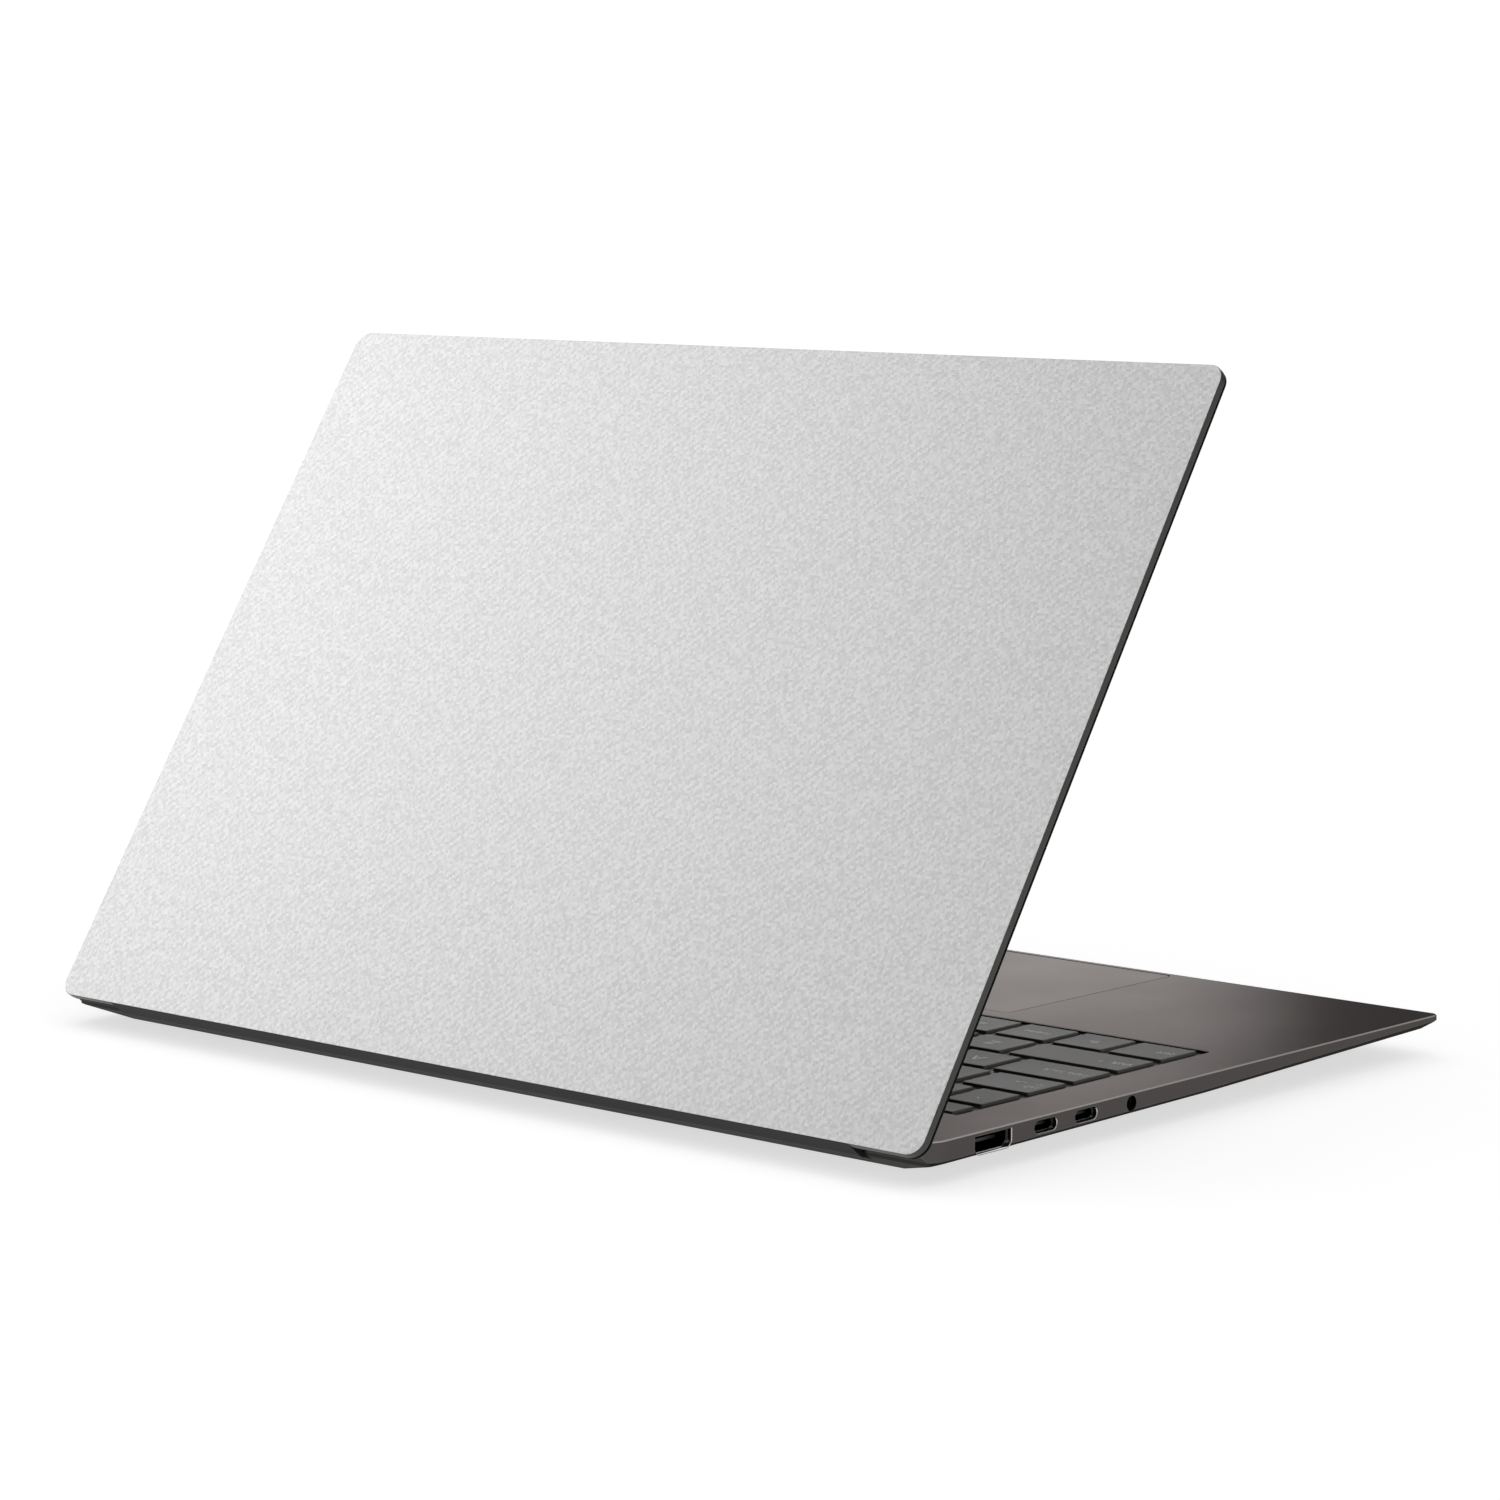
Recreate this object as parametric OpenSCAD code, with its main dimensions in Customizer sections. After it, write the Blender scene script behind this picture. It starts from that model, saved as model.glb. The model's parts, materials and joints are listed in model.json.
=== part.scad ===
// Thin 14-inch clamshell laptop computer with its lid part open.
// Frame: +X to the user's right, +Y to the rear, +Z up. The origin is on the table
// under the middle of the base.

/* [Base] */
// Width of the base and lid
body_w = 310.3; // [300:0.1:330]
// Depth of the closed machine, front edge to rear edge
body_d = 214.7; // [208:0.1:230]
// Height of the deck above the table
deck_z = 10.9; // [10.9:0.1:12]
// Height of the feet
foot_h = 1.2; // [1:0.1:1.6]
// How far the base stands out in front of the closed lid
front_lip = 1.2; // [0.8:0.1:1.5]
// Radius of the base's front corners, seen from above
front_corner_r = 2.5; // [2:0.5:6]
// Radius of the base's rear corners, seen from above
corner_r = 7; // [5:0.5:9]
// Thickness of the side walls
wall_t = 1.5; // [1.2:0.1:1.6]
// Thickness of the deck plate
deck_t = 1.3; // [1:0.1:1.4]
// Thickness of the bottom cover
cover_t = 1; // [0.8:0.1:1.2]
// Width of the bright chamfer round the deck
chamfer = 0.3; // [0.2:0.05:0.4]
// Height of the front wall's lower edge
nose_z = 9.5; // [9.45:0.05:9.6]
// Height of the bottom cover's rim at the front of the base
rim_front_z = 8.35; // [8:0.05:8.5]
// Height of the bottom cover's rim at the rear of the base
rim_rear_z = 5.3; // [5:0.05:5.5]
// Rise of the sloped underside towards the sides
side_slope = 15; // [13:1:17]

/* [Lid] */
// How far the lid stands open from closed
lid_open = 56.85; // [0:0.05:130]
// Thickness of the lid, bezel to outer skin
lid_t = 3; // [3:0.1:3.4]
// Corner radius of the lid
lid_corner_r = 4.6; // [4:0.1:7]
// Gap between deck and bezel when closed
lid_gap = 0.3; // [0.3:0.05:0.5]
// Thickness of the black bezel rim
bezel_t = 1; // [0.8:0.1:1.2]
// Thickness of the outer skin
skin_t = 0.12; // [0.1:0.01:0.2]
// Margin left bare round the skin
skin_margin = 0.15; // [0.1:0.05:0.4]

/* [Hinge] */
// Distance of the hinge axis from the rear edge
pivot_back = 3.65; // [3.4:0.05:3.8]
// Height of the hinge axis
pivot_z = 8.3; // [8.2:0.05:8.4]
// Radius of the hinge bar that turns with the lid
bar_r = 4.2; // [4:0.05:4.3]
// Half length of the hinge bar
bar_half = 133.4; // [125:0.1:135]
// Radius of the hinge shafts
shaft_r = 1.2; // [1:0.05:1.3]
// Running clearance of the shafts, on radius
shaft_fit = 0.05; // [0.02:0.01:0.08]

/* [Keyboard] */
// Column pitch
key_pitch = 19.05; // [18.8:0.05:19.05]
// Row pitch
row_pitch = 18.2; // [18:0.1:18.3]
// Gap between neighbouring keys
key_gap = 2.9; // [2.4:0.1:3.2]
// Depth of a key, front to back
key_d = 15.2; // [14.8:0.1:15.4]
// Depth of a function key
fn_key_d = 8.2; // [8:0.1:9]
// Height of a key cap
cap_t = 1.5; // [1.3:0.1:1.6]
// Width and height of the shoulder round the top of a key
key_shoulder = 0.14; // [0.1:0.01:0.2]

/* [Touchpad] */
// Width of the touchpad glass
pad_w = 135; // [120:1:136]
// Depth of the touchpad glass
pad_d = 73.6; // [68:0.1:74]

/* [Hidden] */
$fn = 48;

front_y = -body_d / 2;
base_front_y = front_y - front_lip;
left_x = -body_w / 2;
pivot_y = body_d / 2 - pivot_back;
big = 400;

// Lid heights, with the lid closed
lid_z = deck_z + lid_gap;
lid_top_z = lid_z + lid_t;
shell_z = lid_z + bezel_t;
plate_z = 13;
plate_top_z = lid_top_z - skin_t;

// Base interior
floor_z = foot_h + cover_t;
ceiling_z = deck_z - deck_t;
barrel_r = lid_z - pivot_z - 0.3;
notch_r = bar_r + 0.3;
notch_half = bar_half + 0.35;
notch_wall_y = pivot_y - notch_r - 1;
wedge_y = 105;
rim_mid_z = 6.15;
part_zs = [rim_front_z + 1.08, rim_mid_z + 0.65, rim_rear_z + 0.5];
nose_run = 8;
nose_drop = 0.2;
front_run = 19;
rear_run = 6.5;
hip_z = 4.6;

// Keyboard: each row is counted from the front, each place from the left side
keys_x = 18.9;
keys_y = 83.2;
keys_end = body_w - keys_x;
letter_w = key_pitch - key_gap;
well_x = 15.7;
well_y = 81.2;
well_d = 103.4;
well_r = 0.8;
well_chamfer = 0.2;
well_lip = 1;
cap_z = deck_z - cap_t;
kb_plate_z = 7;
kb_plate_t = 0.8;
number_x = 33.3;
upper_x = 42.8;
home_x = 47.6;
lower_x = 57.1;
fn_pitch = (keys_end - keys_x + key_gap) / 15;
space_x = 95.2;
space_end = 187.3;
right_keys_x = space_end + key_gap;
right_pitch = (keys_end - right_keys_x + key_gap) / 5;

// Side ports: distance of each middle from the front edge
video_y = 190.15;
oval_ys = [170.05, 154.2];
jack_y = 136;
jack_z = 8.25;
jack_r = 1.8;
data_y = 176;
port_top_z = 9.9;
board_z = 4.4;
board_t = 0.8;
side_board_z = 3.5;

fan_x = 84;
fan_y = 64;
fan_r = 24;
fan_z = 2.5;
fan_h = 4.2;
rear_screw_y = 81.3;
front_screw_y = -82;
rear_foot_y = 74;
screw_spots = [
    for (x = [-113.5, -30, 30, 113.5]) [x, rear_screw_y],
    for (x = [-118, -78, 78, 118]) [x, front_screw_y]
];

// ---------- Shared forms ----------

// Rectangle with round corners: rf at the front (low y), rr at the rear
module plate_2d(w, d, rf, rr) {
    translate([-w / 2, -d / 2 + rf]) square([w, d - rf - rr]);
    translate([-w / 2 + rf, -d / 2]) square([w - 2 * rf, rf]);
    translate([-w / 2 + rr, d / 2 - rr]) square([w - 2 * rr, rr]);
    for (s = [-1, 1]) {
        translate([s * (w / 2 - rf), -d / 2 + rf]) circle(r = rf);
        translate([s * (w / 2 - rr), d / 2 - rr]) circle(r = rr);
    }
}

// The same, as a slab from z0 to z1 with its middle at y
module slab(w, d, r, z0, z1, x = 0, y = 0) {
    translate([x, y, z0]) linear_extrude(z1 - z0) plate_2d(w, d, r, r);
}

// Box given by its low and high corners
module block(a, b) {
    translate(a) cube(b - a);
}

// Profile in the Y-Z plane, drawn as [y, z], made into a bar from x0 to x1
module along_x(x0, x1) {
    translate([x0, 0, 0]) rotate([90, 0, 90]) linear_extrude(x1 - x0) children();
}

// Everything above a wedge-shaped face: it falls from the first height at the front to
// the second at wedge_y, then to the third at the rear, and rises outwards by roll
module above(x, zs, roll) {
    pitches = [atan((zs[1] - zs[0]) / wedge_y), atan((zs[2] - zs[1]) / (body_d - wedge_y))];
    intersection_for(pitch = pitches)
        translate([x, front_y + wedge_y, zs[1]]) rotate([pitch, roll, 0])
            translate([-big, -big, 0]) cube([2 * big, 2 * big, big]);
}

// Slab whose upper edge is chamfered all round, with corners rf at the front and rr
// at the rear
module chamfered_slab(w, d, rf, rr, z0, z1, c) {
    translate([0, 0, z0]) linear_extrude(z1 - c - z0) plate_2d(w, d, rf, rr);
    translate([0, 0, z1 - c]) {
        for (s = [-1, 1]) {
            translate([s * (w / 2 - rf), -d / 2 + rf, 0]) cylinder(r1 = rf, r2 = rf - c, h = c);
            translate([s * (w / 2 - rr), d / 2 - rr, 0]) cylinder(r1 = rr, r2 = rr - c, h = c);
        }
        translate([0, d / 2 - rr, 0]) rotate([90, 0, 0]) linear_extrude(d - rf - rr)
            chamfer_2d(-w / 2, w / 2, c);
        along_x(-w / 2 + rf, w / 2 - rf) chamfer_2d(-d / 2, d / 2 - rr, c);
        along_x(-w / 2 + rr, w / 2 - rr) chamfer_2d(-d / 2, d / 2, c);
    }
}

// Section of the chamfered layer, from a to b
module chamfer_2d(a, b, c) {
    polygon([[a, 0], [b, 0], [b - c, c], [a + c, c]]);
}

// Where the tangent from point p touches a circle, on its far side seen from p
function tangent_point(p, c, r, side) =
    let (v = p - c, d = norm(v), a = atan2(v[1], v[0]) + side * acos(r / d))
    c + r * [cos(a), sin(a)];

function from_left(x) = left_x + x;
function from_front(y) = front_y + y;
pad_rear_y = from_front(1.2 + pad_d);
pad_under_z = deck_z - 0.8;
well_mid_y = from_front(well_y + well_d / 2);

// ---------- Base ----------

// Side view of the base: a thin nose, a wedge front, a flat bottom and a rear that rises
// to a barrel round the hinge axis, so that the lid can swing down behind it
module base_profile() {
    hip = [pivot_y + 0.3, hip_z];
    axis = [pivot_y, pivot_z];
    polygon([
        [base_front_y, deck_z], [base_front_y, nose_z],
        [front_y + nose_run, rim_front_z - nose_drop],
        [front_y + front_run, foot_h], [pivot_y - rear_run, foot_h],
        hip, tangent_point(hip, axis, barrel_r, 1), axis, [pivot_y, deck_z]
    ]);
    intersection() {
        translate(axis) circle(r = barrel_r);
        translate([pivot_y, 0]) square([20, deck_z]);
    }
}

// Slopes that cut the underside away towards both sides, raised by t
module above_side_slopes(t) {
    rim = [rim_front_z + t, rim_mid_z + t, rim_rear_z + t];
    intersection() {
        above(body_w / 2, rim, -side_slope);
        above(-body_w / 2, rim, side_slope);
    }
}

// Outer form of the base: straight walls, undersides that slope in to the flat bottom
module base_form() {
    intersection() {
        translate([0, -front_lip / 2, 0])
            chamfered_slab(body_w, body_d + front_lip, front_corner_r, corner_r, foot_h, deck_z,
                chamfer);
        along_x(left_x, -left_x) base_profile();
        above_side_slopes(0);
    }
}

// The room inside, between the floor and the deck plate
module base_room() {
    intersection() {
        slab(body_w - 2 * wall_t, body_d - 2 * wall_t, corner_r - wall_t, floor_z, ceiling_z);
        along_x(left_x, -left_x) polygon([
            [front_y + nose_run, ceiling_z],
            [front_y + nose_run, rim_front_z + cover_t - nose_drop / 2],
            [front_y + front_run + 0.5, floor_z], [pivot_y - rear_run - 0.5, floor_z],
            [notch_wall_y, floor_z + 1.4], [notch_wall_y, ceiling_z]
        ]);
        above_side_slopes(cover_t);
    }
}

// Parting face between top case and bottom cover, which follows the wall's lower edge
module above_parting() {
    above(0, part_zs, 0);
}

// Notch across the rear that the hinge bar turns in
module hinge_notch() {
    along_x(-notch_half, notch_half) {
        translate([pivot_y, pivot_z]) circle(r = notch_r);
        translate([pivot_y, pivot_z - notch_r - 3]) square([20, notch_r * 2 + 6]);
        translate([pivot_y - 2.2, 0]) square([20, 5]);
    }
}

module keyboard_well(grow, z0, z1) {
    slab(body_w - 2 * well_x + 2 * grow, well_d + 2 * grow, well_r, z0, z1, 0, well_mid_y);
}

// Cutter for the bright chamfer round the well's mouth
module well_edge() {
    c = well_chamfer;
    translate([0, well_mid_y, 0]) mirror([0, 0, 1])
        chamfered_slab(body_w - 2 * well_x + 2 * c, well_d + 2 * c, well_r + c, well_r + c,
            -deck_z - 1, c - deck_z, c);
}

// Cut-outs for the sockets in the left wall and the skirt under it
module left_ports() {
    far = left_x - 1;
    along_x(far, left_x + 13) translate([from_front(video_y), 0]) video_2d(14.1, 4.75);
    for (y = oval_ys)
        along_x(far, left_x + 10) translate([from_front(y), port_top_z - 1.65]) stadium_2d(9, 3.3);
    along_x(far, left_x + 14.4) translate([from_front(jack_y), jack_z]) circle(r = jack_r + 0.2);
}

// Cut-out for the wide socket: flat top, lower corners taken off
module video_2d(w, h) {
    translate([0, port_top_z - h])
        polygon([[-w / 2 + 1.6, 0], [w / 2 - 1.6, 0], [w / 2, 1.4], [w / 2, h],
            [-w / 2, h], [-w / 2, 1.4]]);
}

module stadium_2d(w, h) {
    square([w - h, h], center = true);
    for (s = [-1, 1]) translate([s * (w - h) / 2, 0]) circle(r = h / 2);
}

// Cut-out for the data socket in the right wall
module right_port() {
    along_x(-left_x - 14.5, -left_x + 1)
        translate([from_front(data_y) - 6.6, port_top_z - 5]) square([13.2, 5]);
}

module hinge_pocket(s) {
    x0 = notch_half - 0.5;
    mirror([s < 0 ? 1 : 0, 0, 0]) {
        along_x(x0, 150.5) translate([pivot_y, pivot_z]) circle(r = 2.05);
        block([notch_half + 0.7, notch_wall_y - 1, 6.25], [150.5, pivot_y, ceiling_z]);
    }
}

// Deck, side walls and rear corners: one milled aluminium shell
module top_case() {
    color("#5c5956") difference() {
        union() {
            difference() {
                intersection() {
                    base_form();
                    above_parting();
                }
                base_room();
            }
            keyboard_well(well_lip, kb_plate_z + kb_plate_t, ceiling_z);
            for (p = screw_spots)
                translate([p[0], p[1], floor_z]) cylinder(r = 2.4, h = ceiling_z - floor_z + 0.2);
            for (s = [-1, 1]) scale([s, 1, 1]) hinge_bosses(1.6);
        }
        keyboard_well(0, kb_plate_z, deck_z + 1);
        well_edge();
        slab(pad_w + 0.8, pad_d + 0.8, 2.4, ceiling_z - 1, deck_z + 1, 0, pad_rear_y - pad_d / 2);
        slab(236, 12, 2, ceiling_z - 1, deck_z + 1, 0, 90.4);
        for (p = screw_spots)
            translate([p[0], p[1], floor_z - 1]) cylinder(r = 0.8, h = 6);
        hinge_notch();
        for (s = [-1, 1]) hinge_pocket(s);
        left_ports();
        right_port();
        exhaust_slots();
    }
}

// Bosses under the deck that take the hinge brackets' screws
module hinge_bosses(r) {
    for (p = [[124, 84], [137, 84], [124, 94], [145, 94]])
        translate([p[0], p[1], ceiling_z - 0.7]) cylinder(r = r, h = 0.8);
}

// Warm air leaves through slots in the wall behind the fin stacks
module exhaust_slots() {
    for (s = [-1, 1], i = [0:11])
        translate([s * (60 + i * 4.4) - 1.3, notch_wall_y - 1, 6.4]) cube([2.6, 3, 1.8]);
}

// Tray that closes the base from below, with sloped skirts
module bottom_cover() {
    color("#262525") difference() {
        intersection() {
            base_form();
            translate([0, -front_lip / 2, foot_h]) linear_extrude(deck_z - foot_h)
                plate_2d(body_w - 0.5, body_d + front_lip - 0.5, front_corner_r, corner_r);
        }
        above_parting();
        base_room();
        hinge_notch();
        for (s = [-1, 1]) hinge_pocket(s);
        left_ports();
        right_port();
        for (p = screw_spots) translate([p[0], p[1], foot_h - 0.1]) {
            cylinder(r = 1.15, h = 2);
            cylinder(r = 2.1, h = 0.7);
        }
        for (s = [-1, 1]) {
            for (i = [-6:6]) translate([s * fan_x + i * 3.2 - 0.8, fan_y - 12, foot_h - 1])
                cube([1.6, 20, 3]);
            for (i = [0:8]) translate([s * 112 - 9 + i * 2.2, -62, foot_h - 1])
                cube([1.1, 10, 3]);
        }
    }
}

// Pierced strip let into the deck between keyboard and hinge
module vent_grille() {
    color("#3a3938") difference() {
        slab(235.6, 11.6, 1.8, deck_z - 0.9, deck_z - 0.1, 0, 90.4);
        for (row = [0:3], i = [0:56])
            translate([-114 + i * 4 + (row % 2) * 2, 85.7 + row * 2.5, deck_z - 2])
                cube([2.2, 1.5, 3]);
    }
}

// ---------- Keyboard ----------

// Pressed steel plate that carries every key
module keyboard_plate() {
    color("#1b1b1c") difference() {
        keyboard_well(well_lip, kb_plate_z, kb_plate_z + kb_plate_t);
        for (r = [0:4], i = [0:12])
            translate([from_left(26 + i * key_pitch), from_front(keys_y + r * row_pitch + 7.6), 0])
                cylinder(r = 1.1, h = 20);
    }
}

// One place for each key: [left, right, row]
function key_places() = concat(
    [[keys_x, keys_x + 16.9, 0], [38.3, 54.2, 0], [57.2, 73.3, 0], [76.2, 92.3, 0],
        [space_x, space_end, 0]],
    [for (i = [0:4]) [right_keys_x + i * right_pitch, right_keys_x + (i + 1) * right_pitch - key_gap, 0]],
    [[keys_x, lower_x - key_gap, 1], [lower_x + 10 * key_pitch, keys_end, 1]],
    letter_places(lower_x, 10, 1),
    [[keys_x, home_x - key_gap, 2], [home_x + 11 * key_pitch, keys_end, 2]],
    letter_places(home_x, 11, 2),
    [[keys_x, upper_x - key_gap, 3], [upper_x + 12 * key_pitch, keys_end, 3]],
    letter_places(upper_x, 12, 3),
    [[keys_x, number_x - key_gap, 4], [number_x + 12 * key_pitch, keys_end, 4]],
    letter_places(number_x, 12, 4)
);

function letter_places(x, n, row) =
    [for (i = [0:n - 1]) [x + i * key_pitch, x + i * key_pitch + letter_w, row]];

// Silicone domes that push the keys back up
module key_domes() {
    color("#cfcfcc") for (k = key_places())
        translate([from_left((k[0] + k[1]) / 2),
            from_front(keys_y + k[2] * row_pitch + key_d / 2), kb_plate_z + kb_plate_t])
            cylinder(r1 = 2.2, r2 = 1.4, h = 0.45);
}

// One key cap from x0 to x1, front edge at y: a slab with a shouldered top edge
module cap(x0, x1, y, d = key_d) {
    w = x1 - x0;
    mid_x = from_left((x0 + x1) / 2);
    mid_y = from_front(y + d / 2);
    slab(w, d, 1.2, cap_z, deck_z - key_shoulder, mid_x, mid_y);
    slab(w - 2 * key_shoulder, d - 2 * key_shoulder, 1.1, deck_z - key_shoulder, deck_z,
        mid_x, mid_y);
}

module row_cap(x0, x1, row) {
    color("#2d2c2b") cap(x0, x1, keys_y + row * row_pitch);
}

module letters(x, n, row) {
    for (k = letter_places(x, n, row)) row_cap(k[0], k[1], k[2]);
}

module fn_cap(i) {
    x = keys_x + i * fn_pitch;
    color("#2d2c2b") cap(x, x + fn_pitch - key_gap, keys_y + 5 * row_pitch, fn_key_d);
}

module right_cap(i) {
    x = right_keys_x + i * right_pitch;
    row_cap(x, x + right_pitch - key_gap, 0);
}

module key_escape() { fn_cap(0); }
module function_keys() { for (i = [1:13]) fn_cap(i); }
module key_power() { fn_cap(14); }
module number_keys() {
    row_cap(keys_x, number_x - key_gap, 4);
    letters(number_x, 12, 4);
}
module key_backspace() { row_cap(number_x + 12 * key_pitch, keys_end, 4); }
module key_tab() { row_cap(keys_x, upper_x - key_gap, 3); }
module upper_letter_keys() {
    letters(upper_x, 12, 3);
    row_cap(upper_x + 12 * key_pitch, keys_end, 3);
}
module key_caps() { row_cap(keys_x, home_x - key_gap, 2); }
module home_letter_keys() { letters(home_x, 11, 2); }
module key_enter() { row_cap(home_x + 11 * key_pitch, keys_end, 2); }
module key_shift_left() { row_cap(keys_x, lower_x - key_gap, 1); }
module lower_letter_keys() { letters(lower_x, 10, 1); }
module key_shift_right() { row_cap(lower_x + 10 * key_pitch, keys_end, 1); }
module key_ctrl() { row_cap(keys_x, keys_x + 16.9, 0); }
module left_modifier_keys() {
    row_cap(38.3, 54.2, 0);
    row_cap(57.2, 73.3, 0);
    row_cap(76.2, 92.3, 0);
}
module key_space() { row_cap(space_x, space_end, 0); }
module right_modifier_keys() {
    right_cap(0);
    right_cap(1);
}

// Left and right keys at full depth, up and down sharing one place
module arrow_keys() {
    right_cap(2);
    right_cap(4);
    x = right_keys_x + 3 * right_pitch;
    half = (key_d - 1) / 2;
    color("#2d2c2b") for (y = [0, half + 1])
        cap(x, x + right_pitch - key_gap, keys_y + y, half);
}

// ---------- Touchpad ----------

// Glass pad with two hinge tongues under the deck behind it
module touchpad_glass() {
    color("#63605d") {
        slab(pad_w, pad_d, 2, pad_under_z, deck_z - 0.05, 0, pad_rear_y - pad_d / 2);
        for (s = [-1, 1]) {
            block([s * 40 - 8, pad_rear_y - 4, deck_z - 1.7], [s * 40 + 8, pad_rear_y - 1, pad_under_z]);
            block([s * 40 - 8, pad_rear_y - 4, deck_z - 1.9], [s * 40 + 8, pad_rear_y + 3, deck_z - 1.6]);
        }
    }
}

module touchpad_bracket() {
    color("#8b8d90") difference() {
        union() {
            block([-pad_w / 2 - 4.5, from_front(14), 8.1], [pad_w / 2 + 4.5, from_front(79), 8.6]);
            for (s = [-1, 1]) scale([s, 1, 1])
                block([pad_w / 2 + 1, from_front(14), 8.5], [pad_w / 2 + 4.5, from_front(79), ceiling_z]);
            translate([0, from_front(20), 8.5]) cylinder(r = 2.2, h = 0.6);
        }
        for (s = [-1, 1]) block([s * 36 - 22, from_front(26), 8], [s * 36 + 22, from_front(62), 9]);
    }
}

// ---------- Boards and cooling ----------

module main_board() {
    color("#1d4a35") difference() {
        union() {
            block([-143, 1, board_z], [56, 94, board_z + board_t]);
            block([56, 1, board_z], [118, 34, board_z + board_t]);
        }
        translate([-fan_x, fan_y, 0]) cylinder(r = fan_r + 3, h = 20);
        translate([fan_x, fan_y, 0]) cylinder(r = fan_r + 3, h = 20);
        block([-112, fan_y, 0], [-56, 99, 20]);
        for (p = screw_spots) translate([p[0], p[1], 0]) cylinder(r = 2.8, h = 20);
        block([-150, 84, 0], [-117, 99, 20]);
    }
}

module processor() {
    color("#3b3f45") {
        block([-17, 38, board_z + board_t], [17, 65, board_z + board_t + 0.5]);
        block([-9, 44, board_z + board_t + 0.5], [9, 58, board_z + board_t + 0.8]);
    }
}

module cold_plate() {
    color("#b87333") difference() {
        block([-20, 36, 6], [20, 66, 6.4]);
        for (x = [-17, 17], y = [39, 63]) translate([x, y, 5]) cylinder(r = 0.9, h = 3);
    }
}

// Pipe laid flat along a run of points
module flat_pipe_2d(pts, w) {
    for (i = [0:len(pts) - 2]) {
        run = pts[i + 1] - pts[i];
        translate(pts[i]) rotate(atan2(run[1], run[0])) translate([0, -w / 2])
            square([norm(run), w]);
    }
    for (p = pts) translate(p) circle(r = w / 2);
}

module heat_pipes() {
    color("#b8733a") translate([0, 0, 6.4]) linear_extrude(0.55) for (s = [-1, 1])
        flat_pipe_2d([[s * 6, 56], [s * 40, 70], [s * 57, 94.5], [s * 106, 94.5]], 5);
}

module fin_stacks() {
    color("#9b9da0") for (s = [-1, 1]) {
        block([s * 84 - 25, 91.6, 3.7], [s * 84 + 25, 97.2, 4]);
        block([s * 84 - 25, 91.6, 6.1], [s * 84 + 25, 97.2, 6.4]);
        for (i = [0:24])
            block([s * 84 - 25 + i * 2.05, 91.6, 4], [s * 84 - 24.6 + i * 2.05, 97.2, 6.1]);
    }
}

// Flat blower housing, open above the impeller and towards the fins
module fan_housing(x) {
    color("#202122") translate([x, fan_y, fan_z]) difference() {
        union() {
            cylinder(r = fan_r + 1.6, h = fan_h);
            translate([-fan_r - 1.6, 0, 0]) cube([2 * fan_r + 3.2, 27.3, fan_h]);
        }
        translate([0, 0, 0.5]) cylinder(r = fan_r + 0.8, h = fan_h - 1);
        translate([-fan_r - 0.8, 0, 0.5]) cube([2 * fan_r + 1.6, 30, fan_h - 1]);
        for (z = [-1, fan_h - 1]) translate([0, 0, z]) difference() {
            cylinder(r = 15, h = 2);
            if (z < 0) union() {
                cylinder(r = 5, h = 3);
                for (a = [0:120:240]) rotate(a) translate([0, -1, 0]) cube([16, 2, 3]);
            }
        }
    }
    color("#8b8d90") translate([x, fan_y, fan_z + 0.5]) cylinder(r = 0.8, h = 1.6);
}

// Impeller: hub, ring and swept blades
module fan_impeller(x) {
    color("#303132") translate([x, fan_y, fan_z + 0.9]) {
        difference() {
            cylinder(r = 8, h = 2.3);
            translate([0, 0, -1]) cylinder(r = 0.85, h = 2.3);
        }
        for (a = [0:12:348]) rotate(a) translate([7.2, 0, 0.2]) rotate(24)
            cube([14, 0.5, 2]);
        difference() {
            cylinder(r = 16, h = 0.4);
            translate([0, 0, -1]) cylinder(r = 15.2, h = 3);
        }
    }
}

module storage_card() {
    color("#14231c") {
        block([22, 5, board_z + board_t + 0.3], [102, 27, board_z + board_t + 0.9]);
        block([30, 8, board_z + board_t + 0.9], [46, 24, board_z + board_t + 1.7]);
        block([56, 8, board_z + board_t + 0.9], [72, 24, board_z + board_t + 1.7]);
        block([102, 4, board_z + board_t], [106, 28, board_z + board_t + 1.5]);
    }
}

module wireless_card() {
    color("#c9cacb") {
        block([-66, 6, board_z + board_t], [-50, 28, board_z + board_t + 0.6]);
        block([-65, 8, board_z + board_t + 0.6], [-51, 26, board_z + board_t + 1.5]);
    }
}

// Four pouch cells in one frame
module battery_pack() {
    color("#26282b") {
        block([-96, -76, floor_z + 0.1], [96, -4, floor_z + 0.8]);
        for (i = [0:3]) slab(45.6, 68, 3, floor_z + 0.8, 6.6, -71.25 + i * 47.5, -40);
    }
}

module speakers() {
    color("#1f2021") for (s = [-1, 1]) {
        difference() {
            slab(22, 58, 3, floor_z + 0.1, 6.6, s * 112, -44);
            translate([s * 112 - 7, -64, floor_z - 1]) cube([14, 14, 3.4]);
        }
        slab(13, 13, 4, floor_z + 1.4, floor_z + 2.2, s * 112, -57);
    }
}

// ---------- Sockets ----------

module video_socket() {
    color("#b9bbbd") difference() {
        along_x(left_x + wall_t + 0.1, left_x + 12.5)
            translate([from_front(video_y), 0]) video_2d(14, 4.65);
        along_x(left_x - 1, left_x + 10.5)
            translate([from_front(video_y), -0.25]) video_2d(13.4, 4.15);
    }
    color("#101010") block([left_x + 4, from_front(video_y) - 5.5, port_top_z - 2.7],
        [left_x + 10.6, from_front(video_y) + 5.5, port_top_z - 1.9]);
    color("#b9bbbd") block([left_x + 11, from_front(video_y) - 5, board_z + board_t],
        [left_x + 16, from_front(video_y) + 5, board_z + board_t + 0.4]);
}

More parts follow.
